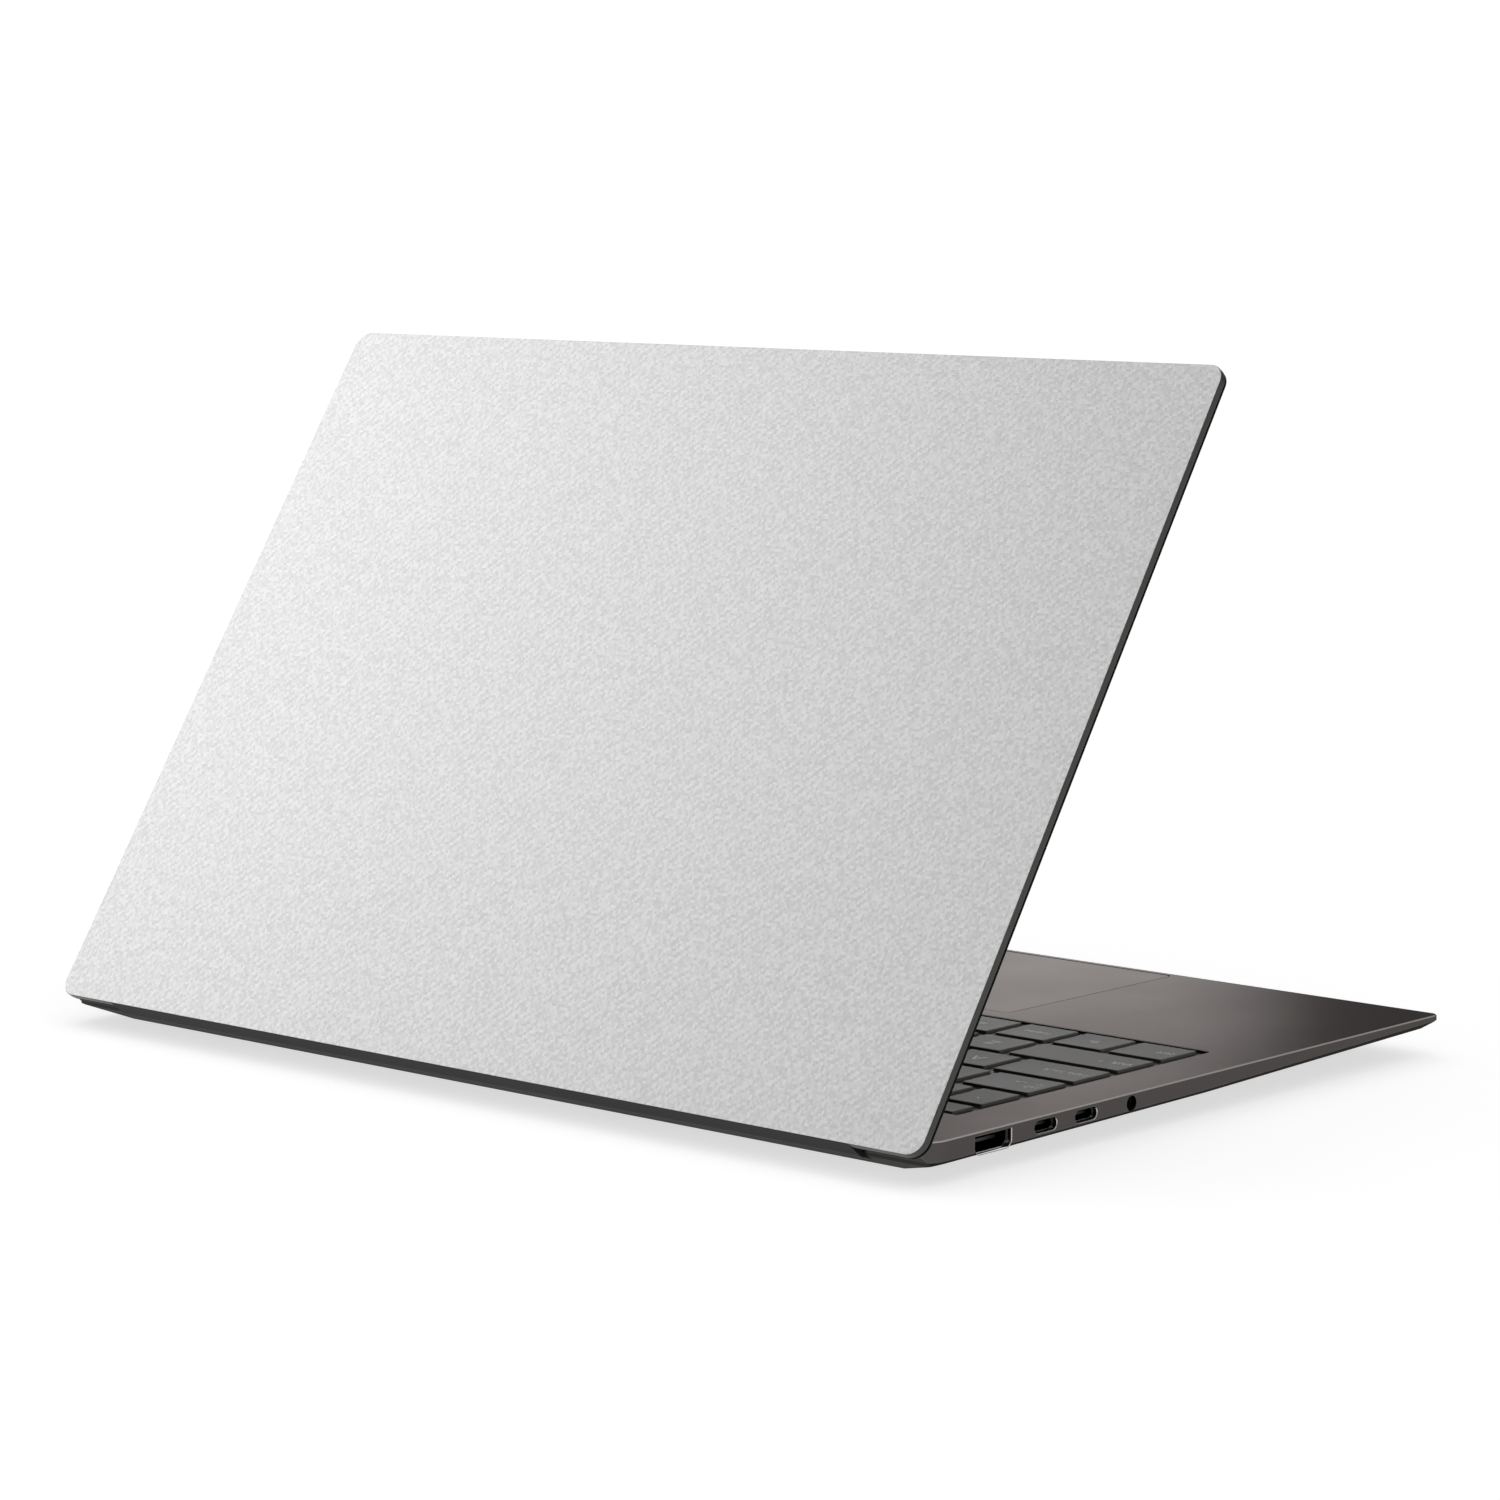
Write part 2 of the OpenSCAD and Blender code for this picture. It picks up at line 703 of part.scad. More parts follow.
module oval_sockets() {
    for (y = oval_ys) {
        color("#b9bbbd") difference() {
            along_x(left_x + wall_t + 0.1, left_x + 9.5)
                translate([from_front(y), port_top_z - 1.65]) stadium_2d(8.94, 3.2);
            along_x(left_x - 1, left_x + 8.5)
                translate([from_front(y), port_top_z - 1.65]) stadium_2d(8.34, 2.56);
        }
        color("#101010") block([left_x + 3, from_front(y) - 3.3, port_top_z - 2],
            [left_x + 8.6, from_front(y) + 3.3, port_top_z - 1.3]);
        color("#b9bbbd") block([left_x + 8.7, from_front(y) - 3, board_z + board_t + 0.7],
            [left_x + 13, from_front(y) + 3, port_top_z - 2]);
        color("#b9bbbd") block([left_x + 12.6, from_front(y) - 3, board_z + board_t],
            [left_x + 14.6, from_front(y) + 3, port_top_z - 2]);
    }
}

// Headset socket, a plain blind bore
module audio_jack() {
    color("#151515") translate([left_x + wall_t + 0.1, from_front(jack_y), jack_z])
        difference() {
            union() {
                block([1.7, -3.2, -2.2], [12.4, 3.2, ceiling_z - jack_z]);
                rotate([0, 90, 0]) cylinder(r = jack_r + 0.18, h = 12.4);
                block([8, -3.2, board_z + board_t - jack_z], [12.4, 3.2, 0]);
            }
            rotate([0, 90, 0]) translate([0, 0, -1]) cylinder(r = jack_r, h = 12.6);
        }
}

module data_socket() {
    y = from_front(data_y);
    z0 = port_top_z - 5;
    color("#b9bbbd") difference() {
        block([-left_x - 14, y - 6.5, z0 + 0.05], [-left_x - wall_t - 0.1, y + 6.5, port_top_z - 0.3]);
        block([-left_x - 13, y - 6.2, z0 + 0.3], [-left_x + 1, y + 6.2, port_top_z - 0.55]);
    }
    color("#e8e8e6") block([-left_x - 13.1, y - 5.5, port_top_z - 2.6],
        [-left_x - 5.5, y + 5.5, port_top_z - 0.9]);
    color("#b9bbbd") block([-left_x - 23, y - 5, side_board_z + board_t],
        [-left_x - 13.5, y + 5, z0 + 0.3]);
}

module side_board() {
    color("#1d4a35") difference() {
        block([120, 20, side_board_z], [138, 80, side_board_z + board_t]);
        translate([126, 30, 0]) cylinder(r = 1, h = 20);
    }
}

module ribbon_cables() {
    color("#c8b58a") {
        block([112, 24, board_z + board_t], [122, 31, board_z + board_t + 0.15]);
        block([121.85, 24, side_board_z + board_t], [122, 31, board_z + board_t + 0.15]);
        block([-14, -5, 6.6], [14, 3, 6.75]);
        block([-14, 2.85, board_z + board_t], [14, 3, 6.75]);
    }
}

// ---------- Hinges ----------

// Steel plate under the deck with a friction knuckle round the shaft
module hinge_brackets() {
    color("#7d7f82") for (s = [0, 1]) mirror([s, 0, 0]) difference() {
        union() {
            block([119, 80.6, ceiling_z - 1.5], [141, notch_wall_y - 1.2, ceiling_z - 0.7]);
            block([119, 90.8, ceiling_z - 1.5], [149.5, notch_wall_y - 1.2, ceiling_z - 0.7]);
            block([135, notch_wall_y - 1.2, 7.3], [149.5, pivot_y - 0.6, ceiling_z - 0.7]);
            along_x(135, 149.5) translate([pivot_y, pivot_z]) circle(r = 1.95);
        }
        along_x(130, 152) translate([pivot_y, pivot_z]) circle(r = shaft_r + shaft_fit);
        hinge_bosses(0.8);
    }
}

// ---------- Feet and fasteners ----------

module bottom_screws() {
    color("#55565a") for (p = screw_spots) translate([p[0], p[1], 0]) difference() {
        union() {
            translate([0, 0, foot_h]) cylinder(r = 2, h = 0.55);
            translate([0, 0, foot_h + 0.5]) cylinder(r = 0.78, h = 5.2);
        }
        translate([0, 0, foot_h - 0.1]) cylinder(r = 0.8, h = 0.4, $fn = 6);
    }
}

// Long rubber strip under the rear, its edges rounded in plan
module rear_foot() {
    color("#171717") slab(224, 7, 3.3, 0, foot_h, 0, rear_foot_y);
}

module front_feet() {
    color("#171717") for (s = [-1, 1]) slab(44, 6, 2.8, 0, foot_h, s * 88, -72);
}

// ---------- Lid, drawn closed and then swung open about the hinge axis ----------

module swing() {
    translate([0, pivot_y, pivot_z]) rotate([-lid_open, 0, 0])
        translate([0, -pivot_y, -pivot_z]) children();
}

module lid_plate(inset, z0, z1) {
    r = lid_corner_r - inset;
    translate([0, 0, z0]) linear_extrude(z1 - z0)
        plate_2d(body_w - 2 * inset, body_d - 2 * inset, r, r);
}

// Room in the lid's foot for the hinge bar
module bar_room(gap) {
    block([-bar_half - gap, pivot_y - bar_r - 0.1 - gap, pivot_z - bar_r - 1],
        [bar_half + gap, body_d, lid_top_z]);
}

module lid_shell() {
    color("#5e5c59") swing() difference() {
        lid_plate(0, shell_z, plate_top_z);
        lid_plate(1.4, shell_z - 1, plate_z);
        bar_room(0);
    }
}

// Thin film with a woven relief on the outside of the lid
module lid_skin() {
    color("#e6e7e8") swing() lid_plate(skin_margin, plate_top_z, lid_top_z);
}

// Bar across the lid's foot: a barrel round the hinge axis with a flat back
module bar_profile() {
    axis = [pivot_y, pivot_z];
    heel = [body_d / 2, plate_top_z];
    touch = tangent_point(heel, axis, bar_r, -1);
    translate(axis) circle(r = bar_r);
    polygon([[pivot_y - bar_r + 0.1, lid_z], [pivot_y - bar_r + 0.1, plate_top_z], heel, touch,
        axis, [pivot_y, lid_z]]);
}

module hinge_bar() {
    color("#302f2e") swing() difference() {
        along_x(-bar_half, bar_half) bar_profile();
        for (s = [0, 1]) mirror([s, 0, 0]) {
            along_x(111, 131.4) {
                translate([pivot_y, pivot_z]) circle(r = 3);
                translate([pivot_y - 3, pivot_z]) square([6, plate_z - pivot_z]);
                translate([pivot_y - 10, shell_z]) square([10, plate_z - shell_z]);
            }
            along_x(130, 140) translate([pivot_y, pivot_z]) circle(r = 1.35);
        }
    }
}

// Steel leaves that grip the shafts and are screwed into the lid
module hinge_leaves() {
    color("#7d7f82") swing() for (s = [0, 1]) mirror([s, 0, 0]) difference() {
        along_x(112, 131) {
            translate([pivot_y, pivot_z]) circle(r = 2.8);
            translate([pivot_y - 1.2, pivot_z]) square([2.4, plate_z - pivot_z]);
            translate([pivot_y - 12, shell_z + 0.1]) square([12, 0.7]);
        }
        along_x(100, 140) translate([pivot_y, pivot_z]) circle(r = shaft_r);
        for (x = [116, 127]) translate([x, pivot_y - 8.5, 0]) cylinder(r = 0.9, h = 30);
    }
}

module hinge_shafts() {
    color("#a5a7aa") swing() for (s = [0, 1]) mirror([s, 0, 0])
        along_x(112, 148.5) translate([pivot_y, pivot_z]) circle(r = shaft_r);
}

module display_panel() {
    color("#0c0d10") swing() slab(303, 190, 1, 11.95, plate_z - 0.1, 0, -5.5);
}

module display_glass() {
    color("#101114") swing() difference() {
        slab(body_w - 3.2, 204.2, 3.2, lid_z + 0.15, 11.9, 0, -3.6);
        translate([0, front_y + 3.4, 0]) cylinder(r = 1.2, h = 30);
    }
}

// Black rim round the glass that meets the deck when the lid is shut
module bezel_frame() {
    color("#191919") swing() difference() {
        lid_plate(0.15, lid_z, shell_z);
        slab(body_w - 3, 204.4, 3.3, lid_z - 1, shell_z + 1, 0, -3.6);
        bar_room(0);
    }
}

module camera_module() {
    color("#16181a") swing() {
        block([-22, front_y + 2, 11.95], [22, front_y + 5.6, plate_z - 0.2]);
        translate([0, front_y + 3.4, 11.5]) cylinder(r = 1.1, h = 0.5);
    }
}

top_case();
bottom_cover();
vent_grille();
keyboard_plate();
key_domes();
touchpad_glass();
touchpad_bracket();
main_board();
processor();
cold_plate();
heat_pipes();
fin_stacks();
fan_housing(-fan_x);  // fan_housing_left
fan_housing(fan_x);  // fan_housing_right
fan_impeller(-fan_x);  // fan_impeller_left
fan_impeller(fan_x);  // fan_impeller_right
storage_card();
wireless_card();
battery_pack();
speakers();
video_socket();
oval_sockets();
audio_jack();
data_socket();
side_board();
ribbon_cables();
hinge_brackets();
bottom_screws();
rear_foot();
front_feet();
lid_shell();
lid_skin();
hinge_bar();
hinge_leaves();
hinge_shafts();
display_panel();
display_glass();
bezel_frame();
camera_module();
key_escape();
function_keys();
key_power();
number_keys();
key_backspace();
key_tab();
upper_letter_keys();
key_caps();
home_letter_keys();
key_enter();
key_shift_left();
lower_letter_keys();
key_shift_right();
key_ctrl();
left_modifier_keys();
key_space();
right_modifier_keys();
arrow_keys();
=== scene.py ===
"""Thin 14-inch clamshell laptop computer, lid part open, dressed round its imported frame."""
import json
import math

import bpy
from mathutils import Matrix, Vector

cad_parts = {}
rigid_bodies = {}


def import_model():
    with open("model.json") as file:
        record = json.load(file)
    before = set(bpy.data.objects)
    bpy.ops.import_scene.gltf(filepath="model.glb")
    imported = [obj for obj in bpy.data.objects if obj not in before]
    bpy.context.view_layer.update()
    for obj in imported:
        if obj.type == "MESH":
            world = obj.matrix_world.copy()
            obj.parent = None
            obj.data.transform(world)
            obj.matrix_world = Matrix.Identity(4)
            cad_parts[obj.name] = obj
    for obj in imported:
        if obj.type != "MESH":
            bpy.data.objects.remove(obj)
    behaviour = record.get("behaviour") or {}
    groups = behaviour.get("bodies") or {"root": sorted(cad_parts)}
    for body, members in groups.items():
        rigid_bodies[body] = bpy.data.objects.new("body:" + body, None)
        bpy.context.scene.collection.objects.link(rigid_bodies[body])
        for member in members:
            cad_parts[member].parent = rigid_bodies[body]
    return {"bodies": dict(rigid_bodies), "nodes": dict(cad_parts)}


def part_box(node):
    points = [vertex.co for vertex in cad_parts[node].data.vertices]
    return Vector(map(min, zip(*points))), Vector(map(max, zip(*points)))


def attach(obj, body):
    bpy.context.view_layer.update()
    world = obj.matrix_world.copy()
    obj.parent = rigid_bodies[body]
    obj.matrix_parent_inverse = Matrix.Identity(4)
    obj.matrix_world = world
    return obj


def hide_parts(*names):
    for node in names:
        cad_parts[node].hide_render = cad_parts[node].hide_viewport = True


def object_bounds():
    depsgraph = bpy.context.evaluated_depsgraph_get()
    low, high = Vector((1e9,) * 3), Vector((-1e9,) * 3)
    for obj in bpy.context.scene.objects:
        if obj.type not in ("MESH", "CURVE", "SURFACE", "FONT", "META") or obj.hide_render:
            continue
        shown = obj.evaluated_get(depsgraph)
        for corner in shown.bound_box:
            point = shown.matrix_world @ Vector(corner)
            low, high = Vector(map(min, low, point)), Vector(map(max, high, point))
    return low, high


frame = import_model()
cad_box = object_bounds()

# ---------------------------------------------------------------------------
# Bottom cover: a shallow tray of sheet aluminium with sloped skirts, milled for its
# vents and painted nearly black. Eight screws pull it up against bosses under the deck.
# ---------------------------------------------------------------------------


def srgb(red, green, blue):
    """A colour as a painter reads it, 0 to 255, in the shader's linear scale."""
    parts = [c / 255 for c in (red, green, blue)]
    return tuple(p / 12.92 if p <= 0.04045 else ((p + 0.055) / 1.055) ** 2.4 for p in parts)


def step(tree, kind, feeds=None, **settings):
    """Adds one shader node; feeds gives each socket a number, a colour or a link."""
    made = tree.nodes.new("ShaderNode" + kind)
    for name, value in settings.items():
        setattr(made, name, value)
    for place, value in (feeds or {}).items():
        if isinstance(value, bpy.types.NodeSocket):
            tree.links.new(value, made.inputs[place])
        else:
            made.inputs[place].default_value = value
    return made


def reckon(tree, operation, *values):
    """One sum on numbers that change over the surface."""
    made = step(tree, "Math", dict(enumerate(values)), operation=operation)
    return made.outputs[0]


def open_group(name, takes, gives):
    """Starts a shared effect with its named inputs and outputs."""
    tree = bpy.data.node_groups.new(name, "ShaderNodeTree")
    kinds = {"colour": "NodeSocketColor", "value": "NodeSocketFloat"}
    for label, start in takes.items():
        kind = "colour" if isinstance(start, tuple) else "value"
        socket = tree.interface.new_socket(label, in_out="INPUT", socket_type=kinds[kind])
        socket.default_value = (*start, 1) if kind == "colour" else start
    for label, kind in gives.items():
        tree.interface.new_socket(label, in_out="OUTPUT", socket_type=kinds[kind])
    return tree, tree.nodes.new("NodeGroupInput").outputs, tree.nodes.new("NodeGroupOutput").inputs


# Blasted metal and moulded plastic: fine pits, a faint cloudiness in tone and gloss
grain, given, out = open_group(
    "blasted_grain",
    {"Colour": (0.1, 0.1, 0.1), "Grain Size": 0.0004, "Tone Spread": 0.1,
     "Roughness": 0.4, "Roughness Spread": 0.06},
    {"Colour": "colour", "Roughness": "value", "Height": "value"})
place = step(grain, "TexCoord").outputs["Object"]
fineness = reckon(grain, "DIVIDE", 1.0, given["Grain Size"])
pits = step(grain, "TexNoise", {"Vector": place, "Scale": fineness, "Detail": 2.0}).outputs[0]
clouds = step(grain, "TexNoise", {"Vector": place, "Scale": 22.0, "Detail": 3.0}).outputs[0]
mixed = reckon(grain, "ADD", reckon(grain, "MULTIPLY", pits, 1.1),
               reckon(grain, "MULTIPLY", clouds, 0.9))
tone = reckon(grain, "MULTIPLY_ADD", reckon(grain, "SUBTRACT", mixed, 1.0),
              given["Tone Spread"], 1.0)
tinted = step(grain, "VectorMath", {0: given["Colour"], "Scale": tone},
              operation="SCALE").outputs[0]
gloss = reckon(grain, "MULTIPLY_ADD", reckon(grain, "SUBTRACT", clouds, 0.5),
               reckon(grain, "MULTIPLY", given["Roughness Spread"], 2.0), given["Roughness"])
grain.links.new(tinted, out["Colour"])
grain.links.new(gloss, out["Roughness"])
grain.links.new(pits, out["Height"])

# Edges lightened where hands and bags rub them to bare metal or polished plastic, and lightened
# further as a painted highlight along every edge
wear_and_highlight, given, out = open_group(
    "edge_wear_and_highlight",
    {"Colour": (0.1, 0.1, 0.1), "Wear And Highlight Colour": (0.4, 0.4, 0.4), "Roughness": 0.4,
     "Worn Roughness": 0.3, "Reach": 0.0003, "Amount": 0.5},
    {"Colour": "colour", "Roughness": "value"})
place = step(wear_and_highlight, "TexCoord").outputs["Object"]
rounded = step(wear_and_highlight, "Bevel", {"Radius": given["Reach"]}, samples=4).outputs[0]
facing = step(wear_and_highlight, "NewGeometry").outputs["Normal"]
agree = step(wear_and_highlight, "VectorMath", {0: rounded, 1: facing}, operation="DOT_PRODUCT").outputs["Value"]
turned = reckon(wear_and_highlight, "MULTIPLY", reckon(wear_and_highlight, "SUBTRACT", 1.0, agree), 8.0)
patchy = step(wear_and_highlight, "TexNoise", {"Vector": place, "Scale": 160.0, "Detail": 4.0}).outputs[0]
broken = reckon(wear_and_highlight, "MULTIPLY", turned, reckon(wear_and_highlight, "MULTIPLY_ADD", patchy, 1.6, -0.2))
mask = step(wear_and_highlight, "Clamp", {0: reckon(wear_and_highlight, "MULTIPLY", broken, given["Amount"])}).outputs[0]
blend = step(wear_and_highlight, "Mix", {"Factor": mask, 6: given["Colour"], 7: given["Wear And Highlight Colour"]},
             data_type="RGBA")
wear_and_highlight.links.new(blend.outputs[2], out["Colour"])
smoother = reckon(wear_and_highlight, "SUBTRACT", given["Worn Roughness"], given["Roughness"])
rub = reckon(wear_and_highlight, "MULTIPLY", mask, smoother)
wear_and_highlight.links.new(reckon(wear_and_highlight, "ADD", given["Roughness"], rub), out["Roughness"])


def new_finish(name, colour, roughness, metallic=0.0):
    """A material whose plain values sit on the shader's own sockets."""
    finish = bpy.data.materials.new(name)
    finish.use_nodes = True
    shader = finish.node_tree.nodes["Principled BSDF"]
    shader.inputs["Base Color"].default_value = (*colour, 1)
    shader.inputs["Roughness"].default_value = roughness
    shader.inputs["Metallic"].default_value = metallic
    return finish, finish.node_tree, shader.inputs


def sockets_of(finish):
    """The shader's inputs, for the few finishes that set more than tone and gloss."""
    return finish.node_tree.nodes["Principled BSDF"].inputs


def use_group(tree, group, feeds):
    """Puts a shared effect into a material; feeds fills its inputs."""
    made = tree.nodes.new("ShaderNodeGroup")
    made.node_tree = group
    for place, value in feeds.items():
        if isinstance(value, bpy.types.NodeSocket):
            tree.links.new(value, made.inputs[place])
        elif isinstance(value, tuple):
            made.inputs[place].default_value = (*value, 1)
        else:
            made.inputs[place].default_value = value
    return made.outputs


def raise_grain(tree, sockets, height, strength, depth):
    """Feeds a height to the shader's normal through one bump."""
    bump = step(tree, "Bump", {"Height": height, "Strength": strength, "Distance": depth})
    tree.links.new(bump.outputs[0], sockets["Normal"])


def grained_finish(name, colour, roughness, metallic=0.0, size=0.0004, spread=0.12,
                   gloss_spread=0.05, depth=0.00002, worn_and_lit=None, reach=0.0003, amount=0.5):
    """Blasted or moulded surface; given an edge colour, its edges are painted lighter for rubbing
    and as a painted highlight.
    """
    finish, tree, sockets = new_finish(name, colour, roughness, metallic)
    base = use_group(tree, grain, {"Colour": colour, "Grain Size": size, "Tone Spread": spread,
                                   "Roughness": roughness, "Roughness Spread": gloss_spread})
    top = base
    if worn_and_lit:
        top = use_group(tree, wear_and_highlight, {
            "Colour": base["Colour"], "Wear And Highlight Colour": worn_and_lit, "Roughness": base["Roughness"],
            "Worn Roughness": roughness * 0.75, "Reach": reach, "Amount": amount})
    tree.links.new(top["Colour"], sockets["Base Color"])
    tree.links.new(top["Roughness"], sockets["Roughness"])
    raise_grain(tree, sockets, base["Height"], 0.5, depth)
    return finish


def dress(finish, *nodes):
    """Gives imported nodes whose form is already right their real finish."""
    for node in nodes:
        for slot in frame["nodes"][node].material_slots:
            slot.material = finish


def choose_only(piece):
    """Clears the selection and picks one piece to work on."""
    bpy.ops.object.select_all(action="DESELECT")
    piece.select_set(True)
    bpy.context.view_layer.objects.active = piece


def softened(name, node, radius, finish, body, smooth=30):
    """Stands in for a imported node: the same form with its sharp edges rounded."""
    piece = bpy.data.objects.new(name, frame["nodes"][node].data.copy())
    bpy.context.scene.collection.objects.link(piece)
    choose_only(piece)
    bpy.ops.mesh.customdata_custom_splitnormals_clear()
    bpy.ops.object.mode_set(mode="EDIT")
    bpy.ops.mesh.select_all(action="SELECT")
    bpy.ops.mesh.remove_doubles(threshold=0.000001)
    bpy.ops.mesh.dissolve_limited(angle_limit=math.radians(0.5))
    bpy.ops.object.mode_set(mode="OBJECT")
    rounding = piece.modifiers.new("rounding", "BEVEL")
    rounding.width = radius
    rounding.segments = 2
    rounding.angle_limit = math.radians(30)
    rounding.use_clamp_overlap = False
    bpy.ops.object.modifier_apply(modifier="rounding")
    bpy.ops.object.shade_smooth_by_angle(angle=math.radians(smooth))
    even = piece.modifiers.new("even", "WEIGHTED_NORMAL")
    even.keep_sharp = True
    bpy.ops.object.modifier_apply(modifier="even")
    piece.data.materials.clear()
    piece.data.materials.append(finish)
    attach(piece, body)
    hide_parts(node)
    return piece


cover_finish = grained_finish("cover_painted", srgb(38, 37, 36), 0.6, size=0.00035,
                              depth=0.00002, worn_and_lit=srgb(84, 82, 80), reach=0.00015, amount=0.2)
sockets_of(cover_finish)["Specular IOR Level"].default_value = 0.08
dress(cover_finish, "bottom_cover")

# ---------------------------------------------------------------------------
# Main board and cards: glass-fibre boards under a green mask with copper tracks, black
# chip packages, and a metal-canned radio card. Soldered parts, screwed to the bosses.
# ---------------------------------------------------------------------------
board_finish, tree, sockets = new_finish("board_mask", srgb(24, 74, 48), 0.35)
place = step(tree, "TexCoord").outputs["Object"]
tracks = step(tree, "TexBrick", {"Vector": place, "Color1": (*srgb(20, 66, 42), 1),
                                 "Color2": (*srgb(26, 80, 52), 1),
                                 "Mortar": (*srgb(46, 110, 72), 1),
                                 "Scale": 90.0, "Mortar Size": 0.03}).outputs[0]
pads = step(tree, "TexVoronoi", {"Vector": place, "Scale": 420.0}).outputs["Distance"]
pad_mask = reckon(tree, "LESS_THAN", pads, 0.22)
dotted = step(tree, "Mix", {"Factor": pad_mask, 6: tracks, 7: (*srgb(180, 170, 120), 1)},
              data_type="RGBA")
tree.links.new(dotted.outputs[2], sockets["Base Color"])
raise_grain(tree, sockets, pad_mask, 0.4, 0.00005)
dress(board_finish, "main_board", "side_board", "storage_card")

package_finish = grained_finish("chip_package", srgb(70, 72, 75), 0.42, 0.4, size=0.0002)
dress(package_finish, "processor", "wireless_card")

# ---------------------------------------------------------------------------
# Cooling: copper plate and flattened heat pipes, stacked aluminium fins and two blowers
# with moulded housings. Soldered together and clamped over the processor.
# ---------------------------------------------------------------------------
rolled, given, out = open_group(
    "rolled_metal",
    {"Colour": (0.4, 0.4, 0.4), "Line Spacing": 0.0002, "Tone Spread": 0.15, "Roughness": 0.3},
    {"Colour": "colour", "Roughness": "value", "Height": "value"})
place = step(rolled, "TexCoord").outputs["Object"]
drawn_out = step(rolled, "Mapping", {"Vector": place, "Scale": (0.05, 1.0, 1.0)}).outputs[0]
closeness = reckon(rolled, "DIVIDE", 1.0, given["Line Spacing"])
lines = step(rolled, "TexNoise", {"Vector": drawn_out, "Detail": 3.0,
                                  "Scale": closeness}).outputs[0]
tone = reckon(rolled, "MULTIPLY_ADD", reckon(rolled, "SUBTRACT", lines, 0.5),
              given["Tone Spread"], 1.0)
tinted = step(rolled, "VectorMath", {0: given["Colour"], "Scale": tone},
              operation="SCALE").outputs[0]
rolled.links.new(tinted, out["Colour"])
rolled.links.new(reckon(rolled, "MULTIPLY_ADD", lines, 0.15, given["Roughness"]), out["Roughness"])
rolled.links.new(lines, out["Height"])


def rolled_finish(name, colour, roughness, spacing=0.0002, spread=0.3):
    """Sheet or drawn metal with its rolling lines left on."""
    finish, tree, sockets = new_finish(name, colour, roughness, 1.0)
    made = use_group(tree, rolled, {"Colour": colour, "Line Spacing": spacing,
                                    "Tone Spread": spread, "Roughness": roughness})
    tree.links.new(made["Colour"], sockets["Base Color"])
    tree.links.new(made["Roughness"], sockets["Roughness"])
    raise_grain(tree, sockets, made["Height"], 0.3, 0.00001)
    return finish


dress(rolled_finish("copper_sheet", srgb(196, 128, 88), 0.3), "cold_plate", "heat_pipes")
dress(rolled_finish("fin_aluminium", srgb(176, 178, 181), 0.35), "fin_stacks")
inner_finish = grained_finish("inner_plastic", srgb(34, 35, 36), 0.6, size=0.0003)
dress(inner_finish, "fan_housing_left", "fan_housing_right", "fan_impeller_left",
      "fan_impeller_right", "speakers")

# ---------------------------------------------------------------------------
# Battery and flat cables: four pouch cells in a black woven-paper wrap, and polyimide
# ribbons with parallel copper lines. The battery is screwed down, the ribbons plug in.
# ---------------------------------------------------------------------------
battery_finish, tree, sockets = new_finish("battery_wrap", srgb(30, 31, 33), 0.55)
place = step(tree, "TexCoord").outputs["Object"]
weft = step(tree, "TexWave", {"Vector": place, "Scale": 380.0, "Distortion": 0.6},
            bands_direction="X").outputs["Fac"]
warp = step(tree, "TexWave", {"Vector": place, "Scale": 380.0, "Distortion": 0.6},
            bands_direction="Y").outputs["Fac"]
woven = reckon(tree, "MAXIMUM", weft, warp)
fibre = step(tree, "Mix", {"Factor": woven, 6: (*srgb(22, 23, 25), 1), 7: (*srgb(42, 43, 46), 1)},
             data_type="RGBA").outputs[2]
tree.links.new(fibre, sockets["Base Color"])
raise_grain(tree, sockets, woven, 0.4, 0.00004)
dress(battery_finish, "battery_pack")

ribbon_finish, tree, sockets = new_finish("ribbon_film", srgb(176, 118, 52), 0.3)
place = step(tree, "TexCoord").outputs["Object"]
wires = step(tree, "TexWave", {"Vector": place, "Scale": 330.0}, bands_direction="X").outputs["Fac"]
film = step(tree, "Mix", {"Factor": wires, 6: (*srgb(150, 92, 36), 1), 7: (*srgb(200, 146, 80), 1)},
            data_type="RGBA").outputs[2]
tree.links.new(film, sockets["Base Color"])
raise_grain(tree, sockets, wires, 0.3, 0.00003)
dress(ribbon_finish, "ribbon_cables")

# ---------------------------------------------------------------------------
# Sockets: folded stainless shells with black moulded tongues and gold contacts, soldered
# to the boards and seated behind openings in the side walls. The headset socket is a
# moulded block with a plain bore.
# ---------------------------------------------------------------------------
shell_finish = rolled_finish("socket_stainless", srgb(186, 188, 190), 0.24, 0.00015)
tongue_finish = grained_finish("tongue_plastic", srgb(38, 37, 36), 0.45, size=0.0002)
# Painted shade: this near-black stands in for the shade deep in each shell and on each lip's upper
# part
shade_paint_finish = rolled_finish("socket_painted_shade", srgb(24, 23, 23), 0.45, 0.00015)
contact_finish = rolled_finish("contact_gold", srgb(206, 170, 96), 0.22, 0.0001)


def block_at(x0, x1, y0, y1, z0, z1):
    """A plain block between two corners."""
    bpy.ops.object.select_all(action="DESELECT")
    bpy.ops.mesh.primitive_cube_add(size=1, location=((x0 + x1) / 2, (y0 + y1) / 2, (z0 + z1) / 2),
                                    scale=(x1 - x0, y1 - y0, z1 - z0))
    bpy.ops.object.transform_apply(location=True, rotation=False, scale=True)
    return bpy.context.object


def joined(parts):
    """Joins parts into the first of them."""
    bpy.ops.object.select_all(action="DESELECT")
    for part in parts:
        part.select_set(True)
    bpy.context.view_layer.objects.active = parts[0]
    if len(parts) > 1:
        bpy.ops.object.join()
    return parts[0]


def tongue_of(piece, inside, mouth):
    """Gives a shell's tongue its finish and paints the shell's inside near-black as painted shade;
    its lip stays bright.
    """
    piece.data.materials.append(tongue_finish)
    piece.data.materials.append(shade_paint_finish)
    for face in piece.data.polygons:
        if inside(face.center):
            face.material_index = 1
        elif abs(face.center.x) < mouth:
            face.material_index = 2


